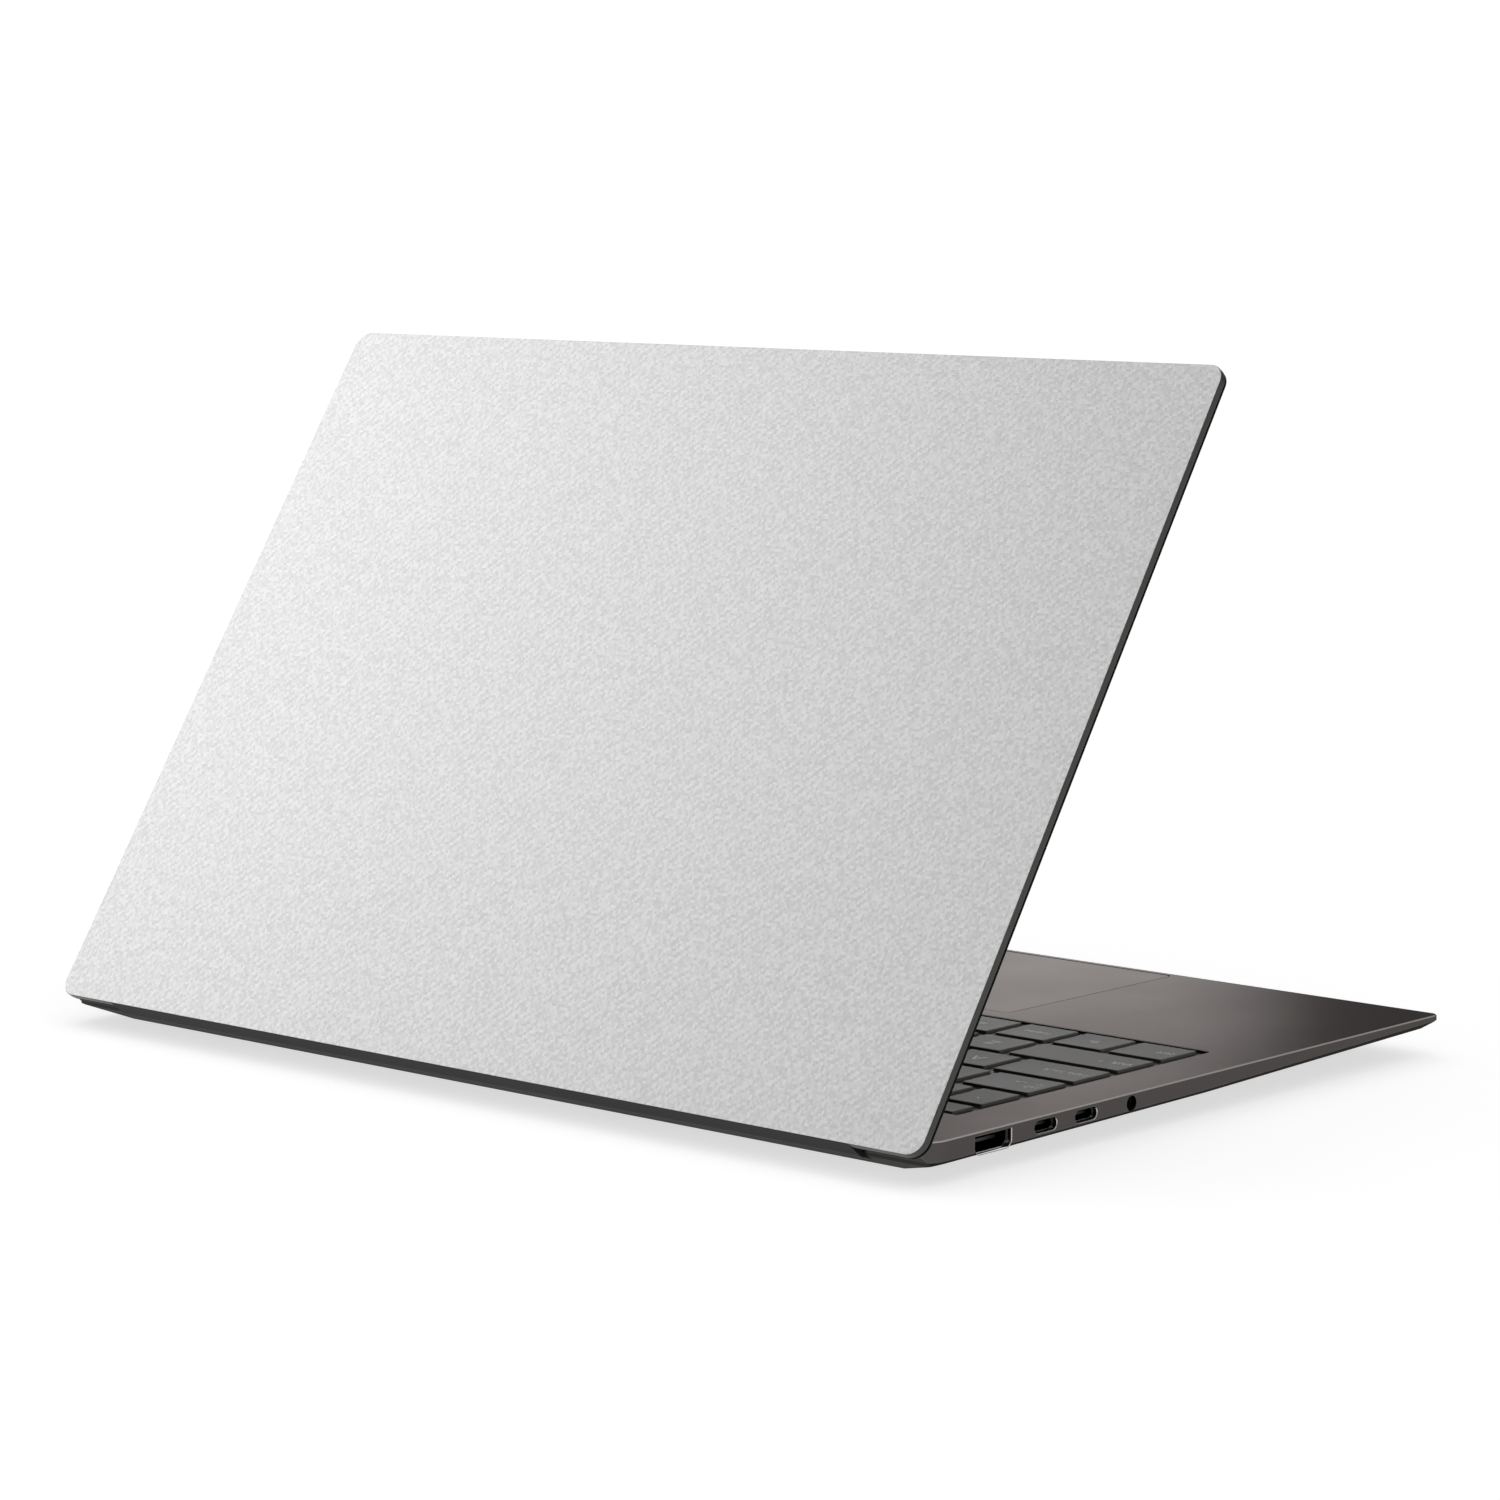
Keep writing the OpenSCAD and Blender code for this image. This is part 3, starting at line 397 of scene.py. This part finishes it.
def contact_row(name, x0, x1, y_middle, width, count, z, faces_up):
    """A row of gold leaves on a tongue: one is modelled, the rest are copies of it."""
    leaf_share, leaf_thick = 0.6, 0.00006
    pitch = width / (count - 1 + leaf_share)
    y0 = y_middle - width / 2
    z0 = z if faces_up else z - leaf_thick
    first = block_at(x0, x1, y0, y0 + pitch * leaf_share, z0, z0 + leaf_thick)
    bpy.ops.object.mode_set(mode="EDIT")
    bpy.ops.mesh.select_all(action="SELECT")
    bpy.ops.mesh.bevel(offset=0.00002, segments=1)
    bpy.ops.object.mode_set(mode="OBJECT")
    row = [first]
    for i in range(1, count):
        leaf = first.copy()
        leaf.data = first.data.copy()
        leaf.data.transform(Matrix.Translation((0, i * pitch, 0)))
        bpy.context.scene.collection.objects.link(leaf)
        row.append(leaf)
    first = joined(row)
    first.name = name
    first.data.materials.append(contact_finish)
    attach(first, "base")


wall_x = cad_box[0][0]
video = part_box("video_socket")
video_middle = (video[0][1] + video[1][1]) / 2
lip_finish = grained_finish("lip_polished", srgb(205, 203, 200), 0.3, 0.6, size=0.0002,
                            spread=0.05)


def pick_edges(piece, wanted):
    """In edit mode, selects the edges whose two ends satisfy wanted."""
    bpy.ops.mesh.select_all(action="DESELECT")
    bpy.ops.object.mode_set(mode="OBJECT")
    points = piece.data.vertices
    for edge in piece.data.edges:
        a, b = (points[i].co for i in edge.vertices)
        edge.select = wanted(a, b)
    bpy.ops.object.mode_set(mode="EDIT")


def pick_faces(piece, wanted):
    """In edit mode, selects the faces whose centre satisfies wanted."""
    bpy.ops.mesh.select_all(action="DESELECT")
    bpy.ops.object.mode_set(mode="OBJECT")
    for face in piece.data.polygons:
        face.select = wanted(face)
    bpy.ops.object.mode_set(mode="EDIT")


def mouth_lip(name, side, y_middle, z_middle, width, height, corner, rounds, only_low):
    """The bright cut round an opening: a block, cornered, whose inset end is pushed in, its upper
    part painted near-black as shade.
    """
    lip_deep, lip_wide, lip_sunk = 0.001, 0.00013, 0.0002
    face_x = -side * wall_x
    x0, x1 = sorted((face_x, face_x - side * lip_deep))
    lip = block_at(x0, x1, y_middle - width / 2, y_middle + width / 2,
                   z_middle - height / 2, z_middle + height / 2)
    lip.name = name
    bpy.ops.object.mode_set(mode="EDIT")
    bpy.ops.mesh.select_mode(type="EDGE")
    pick_edges(lip, lambda a, b: abs(a.x - b.x) > lip_deep * 0.9
               and not (only_low and a.z > z_middle))
    bpy.ops.mesh.bevel(offset=corner, segments=rounds)
    bpy.ops.mesh.select_mode(type="FACE")
    pick_faces(lip, lambda f: f.normal.x * side > 0.99)
    bpy.ops.mesh.inset(thickness=lip_wide)
    bpy.ops.transform.translate(value=(-side * lip_sunk, 0, 0))
    pick_faces(lip, lambda f: not 0.3 < f.normal.x * side < 0.95)
    bpy.ops.mesh.delete(type="FACE")
    bpy.ops.object.mode_set(mode="OBJECT")
    wall = lip.modifiers.new("wall", "SOLIDIFY")
    wall.thickness = 0.00005
    bpy.ops.object.modifier_apply(modifier="wall")
    lip.data.materials.append(lip_finish)
    lip.data.materials.append(shade_paint_finish)
    # Painted shade: the upper part of the lip takes the near-black, as if in shade, and its lower
    # part stays bright
    for face in lip.data.polygons:
        if face.center.z > z_middle + height * 0.3:
            face.material_index = 1
    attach(lip, "base")


video_shell = softened("video_shell", "video_socket", 0.00005, shell_finish, "base")
tongue_of(video_shell, lambda c: wall_x + 0.0035 < c.x < wall_x + 0.0104
          and abs(c.y - video_middle) < 0.00555 and 0.00715 < c.z < 0.00805, -video[0][0] - 0.0004)
contact_row("video_contacts", wall_x + 0.0044, wall_x + 0.0100, video_middle, 0.0095, 10,
            0.0072, False)

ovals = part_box("oval_sockets")
oval_half = 0.00447
oval_middles = (ovals[0][1] + oval_half, ovals[1][1] - oval_half)
oval_shells = softened("oval_shells", "oval_sockets", 0.00004, shell_finish, "base")
tongue_of(oval_shells, lambda c: wall_x + 0.0029 < c.x < wall_x + 0.0084
          and min(abs(c.y - m) for m in oval_middles) < 0.0034 and 0.00785 < c.z < 0.00865,
          -ovals[0][0] - 0.0004)
for middle, side in zip(oval_middles, ("front", "rear")):
    contact_row("oval_contacts_" + side, wall_x + 0.0034, wall_x + 0.0080, middle, 0.0058, 12,
                0.0086, True)

video_mouth_top, video_mouth_high = 0.0099, 0.00475
mouth_lip("video_lip", -1, video_middle, video_mouth_top - video_mouth_high / 2, 0.0141,
          video_mouth_high, 0.0014, 1, True)
for middle, side in zip(oval_middles, ("front", "rear")):
    mouth_lip("oval_lip_" + side, -1, middle, 0.00825, 0.009, 0.0033, 0.0016, 6, False)

bore_finish = grained_finish("bore_plastic", srgb(13, 13, 13), 0.7, size=0.0002)
softened("headset_socket", "audio_jack", 0.00008, bore_finish, "base")

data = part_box("data_socket")
data_middle = (data[0][1] + data[1][1]) / 2
data_shell = softened("data_shell", "data_socket", 0.00006, shell_finish, "base")
tongue_of(data_shell, lambda c: -wall_x - 0.0129 < c.x < -wall_x - 0.0054
          and abs(c.y - data_middle) < 0.0056 and 0.0072 < c.z < 0.0091, data[1][0] - 0.0004)
mouth_lip("data_lip", 1, data_middle, 0.0074, 0.0132, 0.005, 0.0003, 2, False)
contact_row("data_contacts", -wall_x - 0.0120, -wall_x - 0.0062, data_middle, 0.0095, 5,
            0.0073, False)

# ---------------------------------------------------------------------------
# Top case: deck, side walls and rear corners milled from one aluminium plate, blasted,
# anodised warm grey, then cut once more so that a chamfer runs round the deck; its bright
# tone is partly cut metal and partly a painted highlight.
# ---------------------------------------------------------------------------
warm_grey, deck_gloss = srgb(80, 77, 76), 0.3
deck_finish, tree, sockets = new_finish("deck_anodised", warm_grey, deck_gloss, 1.0)
sockets["Specular Tint"].default_value = (*srgb(182, 178, 177), 1)
blasted = use_group(tree, grain, {"Colour": warm_grey, "Grain Size": 0.0003, "Tone Spread": 0.1,
                                  "Roughness": deck_gloss, "Roughness Spread": 0.05})
# Edges painted lighter for rubbing and as a painted highlight
rubbed_and_lit = use_group(tree, wear_and_highlight, {"Colour": blasted["Colour"], "Wear And Highlight Colour": srgb(150, 146, 140),
                                "Roughness": blasted["Roughness"], "Worn Roughness": 0.2,
                                "Reach": 0.00025, "Amount": 0.3})
# Painted highlight: the chamfer, the only face that leans about 45 degrees and so picked out by its
# lean, is painted much lighter, for its cut metal and as the highlight it catches
upward = step(tree, "SeparateXYZ", {0: step(tree, "TexCoord").outputs["Normal"]}).outputs["Z"]
rising = step(tree, "MapRange", {"Value": upward, "From Min": 0.58, "From Max": 0.66}).outputs[0]
falling = step(tree, "MapRange", {"Value": upward, "From Min": 0.76, "From Max": 0.84,
                                  "To Min": 1.0, "To Max": 0.0}).outputs[0]
chamfer_highlight_mask = reckon(tree, "MULTIPLY", rising, falling)
chamfer_painted_highlight = step(tree, "Mix", {"Factor": chamfer_highlight_mask, 6: rubbed_and_lit["Colour"],
                                7: (*srgb(186, 182, 178), 1)}, data_type="RGBA").outputs[2]
tree.links.new(chamfer_painted_highlight, sockets["Base Color"])
tree.links.new(rubbed_and_lit["Roughness"], sockets["Roughness"])
raise_grain(tree, sockets, blasted["Height"], 0.5, 0.000015)
dress(deck_finish, "top_case")

# ---------------------------------------------------------------------------
# Vent strip, keyboard plate and domes: a pierced moulded strip let into the deck, a
# pressed steel plate screwed under the key opening, and a silicone dome below each key.
# ---------------------------------------------------------------------------
vent_finish = grained_finish("vent_plastic", srgb(52, 50, 49), 0.5, 0.2, size=0.0003)
dress(vent_finish, "vent_grille")
dress(grained_finish("plate_black", srgb(20, 20, 20), 0.6, 0.0, size=0.0004), "keyboard_plate")
dress(grained_finish("dome_silicone", srgb(196, 196, 192), 0.5, size=0.0005), "key_domes")

# ---------------------------------------------------------------------------
# Key caps: thin moulded caps, matt dark grey, with a rounded shoulder and a shallow dish.
# Each legend is printed in pale ink, and each bank of equal keys is one piece.
# ---------------------------------------------------------------------------
key_finish = grained_finish("key_plastic", srgb(61, 57, 53), 0.52, size=0.00025, spread=0.16,
                            depth=0.00003, worn_and_lit=srgb(120, 120, 117), reach=0.0003, amount=0.6)
# Painted light: the flanks that face the left are painted lighter, as if lit from that side
tree, sockets = key_finish.node_tree, sockets_of(key_finish)
leftward = step(tree, "SeparateXYZ", {0: step(tree, "TexCoord").outputs["Normal"]}).outputs["X"]
lit_flank_mask = step(tree, "MapRange", {"Value": leftward, "From Min": -0.4, "From Max": -0.8}).outputs[0]
flank_painted_light = step(tree, "Mix", {"Factor": lit_flank_mask, 6: sockets["Base Color"].links[0].from_socket,
                           7: (*srgb(104, 101, 99), 1)}, data_type="RGBA").outputs[2]
tree.links.new(flank_painted_light, sockets["Base Color"])
ink_finish = grained_finish("legend_ink", srgb(205, 205, 202), 0.55, size=0.00015, spread=0.1)

cap_low, cap_top = (corner[2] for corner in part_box("home_letter_keys"))
cap_width, cap_depth, dish_depth = 0.01615, 0.0152, 0.00006
first_cap = block_at(-cap_width / 2, cap_width / 2, -cap_depth / 2, cap_depth / 2, cap_low, cap_top)
bpy.ops.object.mode_set(mode="EDIT")
bpy.ops.mesh.select_mode(type="EDGE")
pick_edges(first_cap, lambda a, b: abs(a.z - b.z) > 0.001)
bpy.ops.mesh.bevel(offset=0.0005, segments=3)
pick_edges(first_cap, lambda a, b: a.z > cap_top - 0.0001 and b.z > cap_top - 0.0001)
bpy.ops.mesh.bevel(offset=0.00016, segments=2)
bpy.ops.mesh.select_mode(type="FACE")
pick_faces(first_cap, lambda f: f.normal.z > 0.99 and f.area > 0.0001)
bpy.ops.mesh.inset(thickness=0.00025)
bpy.ops.mesh.extrude_region()
bpy.ops.transform.resize(value=(0.7, 0.7, 1), center_override=(0, 0, cap_top))
bpy.ops.transform.translate(value=(0, 0, -dish_depth))
bpy.ops.object.mode_set(mode="OBJECT")
bpy.ops.object.shade_smooth_by_angle(angle=math.radians(35))

openings = []


def lay_cap(x0, x1, y0, y1):
    """A copy of the first cap, drawn out or shortened to fill one place."""
    cap = first_cap.copy()
    cap.data = first_cap.data.copy()
    bpy.context.scene.collection.objects.link(cap)
    openings.append((x0, x1, y0, y1))
    wider, deeper = (x1 - x0 - cap_width) / 2, (y1 - y0 - cap_depth) / 2
    for point in cap.data.vertices:
        point.co.x += (x0 + x1) / 2 + (wider if point.co.x > 0 else -wider)
        point.co.y += (y0 + y1) / 2 + (deeper if point.co.y > 0 else -deeper)
    cap.data.materials.append(key_finish)
    cap.data.materials.append(ink_finish)
    return cap


ink_lift = 0.00002


def print_legend(words, x, y, height, from_side):
    """Flat letters in ink on a cap, turned into mesh and laid just over the dish."""
    bpy.ops.object.select_all(action="DESELECT")
    bpy.ops.object.text_add(location=(0, 0, 0))
    text = bpy.context.object
    text.data.body = words
    text.data.size = height
    text.data.resolution_u = 2
    text.data.align_x = "LEFT" if from_side else "CENTER"
    text.data.align_y = "CENTER"
    bpy.ops.object.convert(target="MESH")
    text.data.transform(Matrix.Translation((x, y, cap_top - dish_depth + ink_lift)))
    text.data.materials.append(key_finish)
    text.data.materials.append(ink_finish)
    for face in text.data.polygons:
        face.material_index = 1
    return text


key_gap, half_gap = 0.0029, 0.001
top_row_width, right_width = 0.01551, 0.018
letter_high, word_high, word_indent = 0.006, 0.0038, 0.0014
# Each bank's caps from left to right: a width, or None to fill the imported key, and a legend
banks = {
    "key_escape": [(top_row_width, "esc")],
    "function_keys": [(top_row_width, "f%d" % n) for n in range(1, 13)] + [(top_row_width, "del")],
    "key_power": [(top_row_width, "")],
    "number_keys": [(0.0119, "`")] + [(cap_width, c) for c in "1234567890-="],
    "key_backspace": [(None, "backspace")],
    "key_tab": [(None, "tab\n <-  ->")],
    "upper_letter_keys": [(cap_width, c) for c in "QWERTYUIOP[]"] + [(0.0174, "\\")],
    "key_caps": [(None, "caps lock")],
    "home_letter_keys": [(cap_width, c) for c in "ASDFGHJKL;'"],
    "key_enter": [(None, "enter")],
    "key_shift_left": [(None, "shift  ^")],
    "lower_letter_keys": [(cap_width, c) for c in "ZXCVBNM,./"],
    "key_shift_right": [(None, "shift")],
    "key_ctrl": [(None, "ctrl")],
    "left_modifier_keys": [(0.0159, "fn"), (0.0161, "menu"), (0.0161, "alt")],
    "key_space": [(None, "")],
    "right_modifier_keys": [(right_width, "alt"), (right_width, "ctrl")],
    "arrow_keys": [(right_width, "<"), (right_width, ""), (right_width, ">")],
}
for node, caps in banks.items():
    low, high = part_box(node)
    made = []
    x = low[0]
    for width, words in caps:
        x1 = high[0] if width is None else x + width
        if node == "arrow_keys" and words == "":
            half = (cap_depth - half_gap) / 2
            made.append(lay_cap(x, x1, low[1], low[1] + half))
            made.append(lay_cap(x, x1, high[1] - half, high[1]))
        else:
            made.append(lay_cap(x, x1, low[1], high[1]))
        if words:
            wide = width is None
            made.append(print_legend(words, x + word_indent if wide else (x + x1) / 2,
                                     (low[1] + high[1]) / 2,
                                     word_high if len(words) > 1 else letter_high, wide))
        x = x1 + key_gap
    bank = joined(made)
    bank.name = "caps_" + node
    body = node + ("_cap" if node + "_cap" in frame["bodies"] else "_bank")
    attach(bank, body)
    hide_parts(node)
bpy.data.objects.remove(first_cap)

# ---------------------------------------------------------------------------
# Key web: a thin plate of the deck's own anodised metal that fills the well between the
# keys, pierced once for each cap with a little room all round, and held from below.
# ---------------------------------------------------------------------------
web_top, web_thick, cap_room = cap_top - 0.0007, 0.0005, 0.00035
well_low, well_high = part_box("keyboard_plate")
plate_margin, well_gap, pierce_reach = 0.001, 0.0001, 0.002
well_rim = plate_margin + well_gap
web = block_at(well_low[0] + well_rim, well_high[0] - well_rim, well_low[1] + well_rim,
               well_high[1] - well_rim, web_top - web_thick, web_top)
web.name = "key_web"
piercers = joined([block_at(x0 - cap_room, x1 + cap_room, y0 - cap_room, y1 + cap_room,
                            web_top - pierce_reach, web_top + pierce_reach)
                   for x0, x1, y0, y1 in openings])
choose_only(web)
pierced = web.modifiers.new("pierced", "BOOLEAN")
pierced.object = piercers
pierced.solver = "EXACT"
bpy.ops.object.modifier_apply(modifier="pierced")
bpy.data.objects.remove(piercers)
web.data.materials.clear()
web.data.materials.append(deck_finish)
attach(web, "base")

# ---------------------------------------------------------------------------
# Touchpad: an etched glass plate with a metal coat to match the deck, that tips about its
# rear edge on two steel tongues over a pressed bracket.
# ---------------------------------------------------------------------------
pad_finish = grained_finish("pad_glass", srgb(82, 79, 78), 0.3, 1.0, size=0.0003, spread=0.1,
                            depth=0.0000075)
sockets_of(pad_finish)["Specular Tint"].default_value = (*srgb(185, 181, 180), 1)
softened("touchpad_plate", "touchpad_glass", 0.0001, pad_finish, "touchpad")
steel_finish = rolled_finish("pressed_steel", srgb(128, 130, 132), 0.38, 0.00025)
dress(steel_finish, "touchpad_bracket")

# ---------------------------------------------------------------------------
# Feet and screws: silicone-rubber strips glued into shallow seats, and eight zinc-black
# countersunk screws with a six-sided drive.
# ---------------------------------------------------------------------------
rubber_finish = grained_finish("foot_rubber", srgb(24, 24, 24), 0.75, size=0.0005, spread=0.3,
                               depth=0.00005)
softened("rear_foot_strip", "rear_foot", 0.0003, rubber_finish, "base")
softened("front_foot_pads", "front_feet", 0.0003, rubber_finish, "base")
dress(rolled_finish("screw_zinc", srgb(70, 70, 74), 0.35, 0.0001), "bottom_screws")

# ---------------------------------------------------------------------------
# Hinges: folded steel brackets under the deck and leaves in the lid, gripping a hard
# drawn shaft with enough friction to hold the lid at any angle.
# ---------------------------------------------------------------------------
dress(steel_finish, "hinge_brackets", "hinge_leaves")
dress(rolled_finish("shaft_steel", srgb(190, 191, 193), 0.2, 0.0001, 0.15), "hinge_shafts")

# ---------------------------------------------------------------------------
# Lid shell and hinge bar: the shell is milled aluminium like the deck, the bar a moulded
# barrel that hides the hinges and closes the gap behind the keyboard.
# ---------------------------------------------------------------------------
lid_finish = grained_finish("lid_anodised", srgb(66, 66, 63), 0.42, 0.7, size=0.0003, spread=0.1,
                            depth=0.000015, worn_and_lit=srgb(180, 178, 172), reach=0.00025, amount=0.3)
softened("lid_tray", "lid_shell", 0.00015, lid_finish, "lid")
bar_finish = grained_finish("bar_plastic", srgb(17, 17, 16), 0.62, size=0.0003, spread=0.14,
                            depth=0.00002)
sockets_of(bar_finish)["Specular IOR Level"].default_value = 0.2
dress(bar_finish, "hinge_bar")

# ---------------------------------------------------------------------------
# Display: black glass over the panel inside a soft black rim that meets the deck when the
# lid shuts, with a small camera at the top.
# ---------------------------------------------------------------------------
glass_finish = grained_finish("screen_glass", srgb(9, 10, 12), 0.08, size=0.004, spread=0.2,
                              gloss_spread=0.03, depth=0.000001)
sockets_of(glass_finish)["Coat Weight"].default_value = 0.6
sockets_of(glass_finish)["Coat Roughness"].default_value = 0.03
softened("screen_plate", "display_glass", 0.0001, glass_finish, "lid")
rim_finish = grained_finish("rim_rubber", srgb(9, 9, 9), 0.7, size=0.0003, spread=0.2,
                            depth=0.00002)
sockets_of(rim_finish)["Specular IOR Level"].default_value = 0.05
softened("screen_rim", "bezel_frame", 0.00015, rim_finish, "lid")
panel_finish = grained_finish("panel_film", srgb(12, 12, 14), 0.3, size=0.001)
dress(panel_finish, "display_panel", "camera_module")

# ---------------------------------------------------------------------------
# Lid skin: a white vinyl film embossed as a twill of fine, uneven tows, laid over the
# outside of the lid. Its ribs climb at 45 degrees and its satin face is finely grained.
# ---------------------------------------------------------------------------
skin_finish, tree, sockets = new_finish("twill_film", srgb(236, 236, 236), 0.42)
lid_tilt = math.radians(56.85)
tow = 0.00075
place = step(tree, "TexCoord").outputs["Object"]
in_lid = step(tree, "Mapping", {"Vector": place, "Rotation": (lid_tilt, 0, 0),
                                "Scale": (1 / tow, 1 / tow, 1 / tow)}).outputs[0]
across = step(tree, "SeparateXYZ", {0: in_lid}).outputs
u, v = across["X"], reckon(tree, "MULTIPLY", across["Y"], -1.0)


def tow_height(along, other):
    """How high a tow stands where it floats over two of the crossing tows."""
    phase = reckon(tree, "ADD", along, reckon(tree, "FLOOR", other))
    arch = reckon(tree, "SINE", reckon(tree, "MULTIPLY", phase, math.pi / 2))
    crown = reckon(tree, "ABSOLUTE", reckon(tree, "SINE", reckon(tree, "MULTIPLY", other, math.pi)))
    return reckon(tree, "MULTIPLY", arch, crown)


warp_tow = tow_height(v, u)
weft_tow = reckon(tree, "MULTIPLY", tow_height(u, v), -1.0)
twill = reckon(tree, "MAXIMUM", warp_tow, weft_tow)
warp_over = reckon(tree, "GREATER_THAN", warp_tow, weft_tow)
speck = step(tree, "TexNoise", {"Vector": place, "Scale": 3500.0, "Detail": 2.0}).outputs[0]
tow_cell = step(tree, "VectorMath", {0: in_lid}, operation="FLOOR").outputs[0]
uneven = step(tree, "TexWhiteNoise", {"Vector": tow_cell}).outputs["Value"]
# Painted sheen: tows floating on top as warp are painted lighter, standing in for their sheen; the
# rest of the spread is random tone per tow
lit_share = reckon(tree, "MULTIPLY_ADD", warp_over, 0.2, reckon(tree, "MULTIPLY", uneven, 0.8))
dull_tow, bright_tow = srgb(178, 178, 178), srgb(204, 204, 204)
tow_tone_and_sheen = step(tree, "Mix", {"Factor": lit_share, 6: (*dull_tow, 1), 7: (*bright_tow, 1)},
             data_type="RGBA").outputs[2]
tree.links.new(tow_tone_and_sheen, sockets["Base Color"])
relief = reckon(tree, "MULTIPLY_ADD", speck, 0.6, twill)
tree.links.new(reckon(tree, "MULTIPLY_ADD", speck, 0.2, 0.4), sockets["Roughness"])
raise_grain(tree, sockets, relief, 0.35, 0.00006)
softened("lid_film_sheet", "lid_skin", 0.00004, skin_finish, "lid")

# ---------------------------------------------------------------------------
# Studio: a white floor that glows a little, a sky with a darker wall and a bright panel,
# one square lamp for the lid and one for the deck, and a long lens behind the left corner.
# ---------------------------------------------------------------------------
bpy.ops.object.select_all(action="DESELECT")
bpy.ops.mesh.primitive_plane_add(size=24, location=(0, 0, 0))
floor = bpy.context.object
floor.name = "studio_floor"
floor_finish, tree, sockets = new_finish("floor_white", (0.6, 0.6, 0.6), 0.9)
sockets["Specular IOR Level"].default_value = 0.0
sockets["Emission Color"].default_value = (1, 1, 1, 1)
sockets["Emission Strength"].default_value = 0.66
floor.data.materials.append(floor_finish)

sky = bpy.data.worlds.new("studio_sky")
sky.use_nodes = True
tree = sky.node_tree
looked_at = step(tree, "TexCoord").outputs["Generated"]
level = step(tree, "VectorMath", {0: looked_at, 1: (1, 1, 0)}, operation="MULTIPLY").outputs[0]
bearing = step(tree, "VectorMath", {0: level}, operation="NORMALIZE").outputs[0]


def wall_of_light(towards, start, end, before, after):
    """Brightness of the studio walls, which changes between two bearings."""
    facing = step(tree, "VectorMath", {0: bearing, 1: towards},
                  operation="DOT_PRODUCT").outputs["Value"]
    return step(tree, "MapRange", {"Value": facing, "From Min": start, "From Max": end,
                                   "To Min": before, "To Max": after},
                interpolation_type="SMOOTHSTEP").outputs[0]


black_flag = wall_of_light((-0.139, -0.990, 0.0), 0.7, 0.755, 0.5, 0.34)
front_panel = wall_of_light((0.866, -0.5, 0.0), 0.85, 0.95, 0.56, 1.0)
height = step(tree, "SeparateXYZ", {0: looked_at}).outputs["Z"]
above_flag = step(tree, "MapRange", {"Value": height, "From Min": 0.35, "From Max": 0.6},
                  interpolation_type="SMOOTHSTEP").outputs[0]
low_wall = reckon(tree, "MAXIMUM", black_flag, reckon(tree, "MULTIPLY", above_flag, 1.15))
seen = step(tree, "LightPath").outputs["Is Camera Ray"]
shed = reckon(tree, "MAXIMUM", reckon(tree, "MULTIPLY", low_wall, front_panel),
              reckon(tree, "MULTIPLY", seen, 1.05))
tree.links.new(shed, tree.nodes["Background"].inputs["Strength"])
tree.nodes["Background"].inputs["Color"].default_value = (1, 1, 1, 1)
bpy.context.scene.world = sky


def hang_lamp(name, place, aim, power, **settings):
    """A square or oblong lamp that lights the machine and not the floor."""
    lamp = bpy.data.lights.new(name, "AREA")
    lamp.energy = power
    for setting, value in settings.items():
        setattr(lamp, setting, value)
    hung = bpy.data.objects.new(name, lamp)
    hung.location = place
    hung.rotation_euler = (Vector(aim) - Vector(place)).to_track_quat("-Z", "Y").to_euler()
    bpy.context.scene.collection.objects.link(hung)
    return hung


side_lamp = hang_lamp("side_softbox", (0.47, 0.32, 0.44), (0.1, 0.05, 0.1), 3.4,
                      shape="RECTANGLE", size=0.4, size_y=0.5)
front_lamp = hang_lamp("front_softbox", (0.168, -0.36, 0.08), (-0.03, -0.06, 0.01), 0.103,
                       shape="SQUARE", size=0.13)
# Hung on one corner, so that its reflection in the deck fades towards both sides
front_lamp.rotation_euler.rotate_axis("Z", math.radians(45))
off_the_floor = bpy.data.collections.new("lit_from_the_side")
for piece in bpy.context.scene.objects:
    if piece.type == "MESH" and piece != floor:
        off_the_floor.objects.link(piece)
for lamp in (side_lamp, front_lamp):
    lamp.light_linking.receiver_collection = off_the_floor
    lamp.visible_camera = False

lens = bpy.data.cameras.new("studio_camera")
lens.sensor_width = 36.0
lens.lens = 107.5
lens.clip_start = 0.01
camera = bpy.data.objects.new("studio_camera", lens)
lens_place, lens_towards = (-0.8062, 0.8965, 0.2391), (0.6613, -0.7386, -0.1313)
camera.location = lens_place
camera.rotation_euler = Vector(lens_towards).to_track_quat("-Z", "Y").to_euler()
bpy.context.scene.collection.objects.link(camera)
bpy.context.scene.camera = camera
bpy.context.scene.view_settings.view_transform = "Standard"
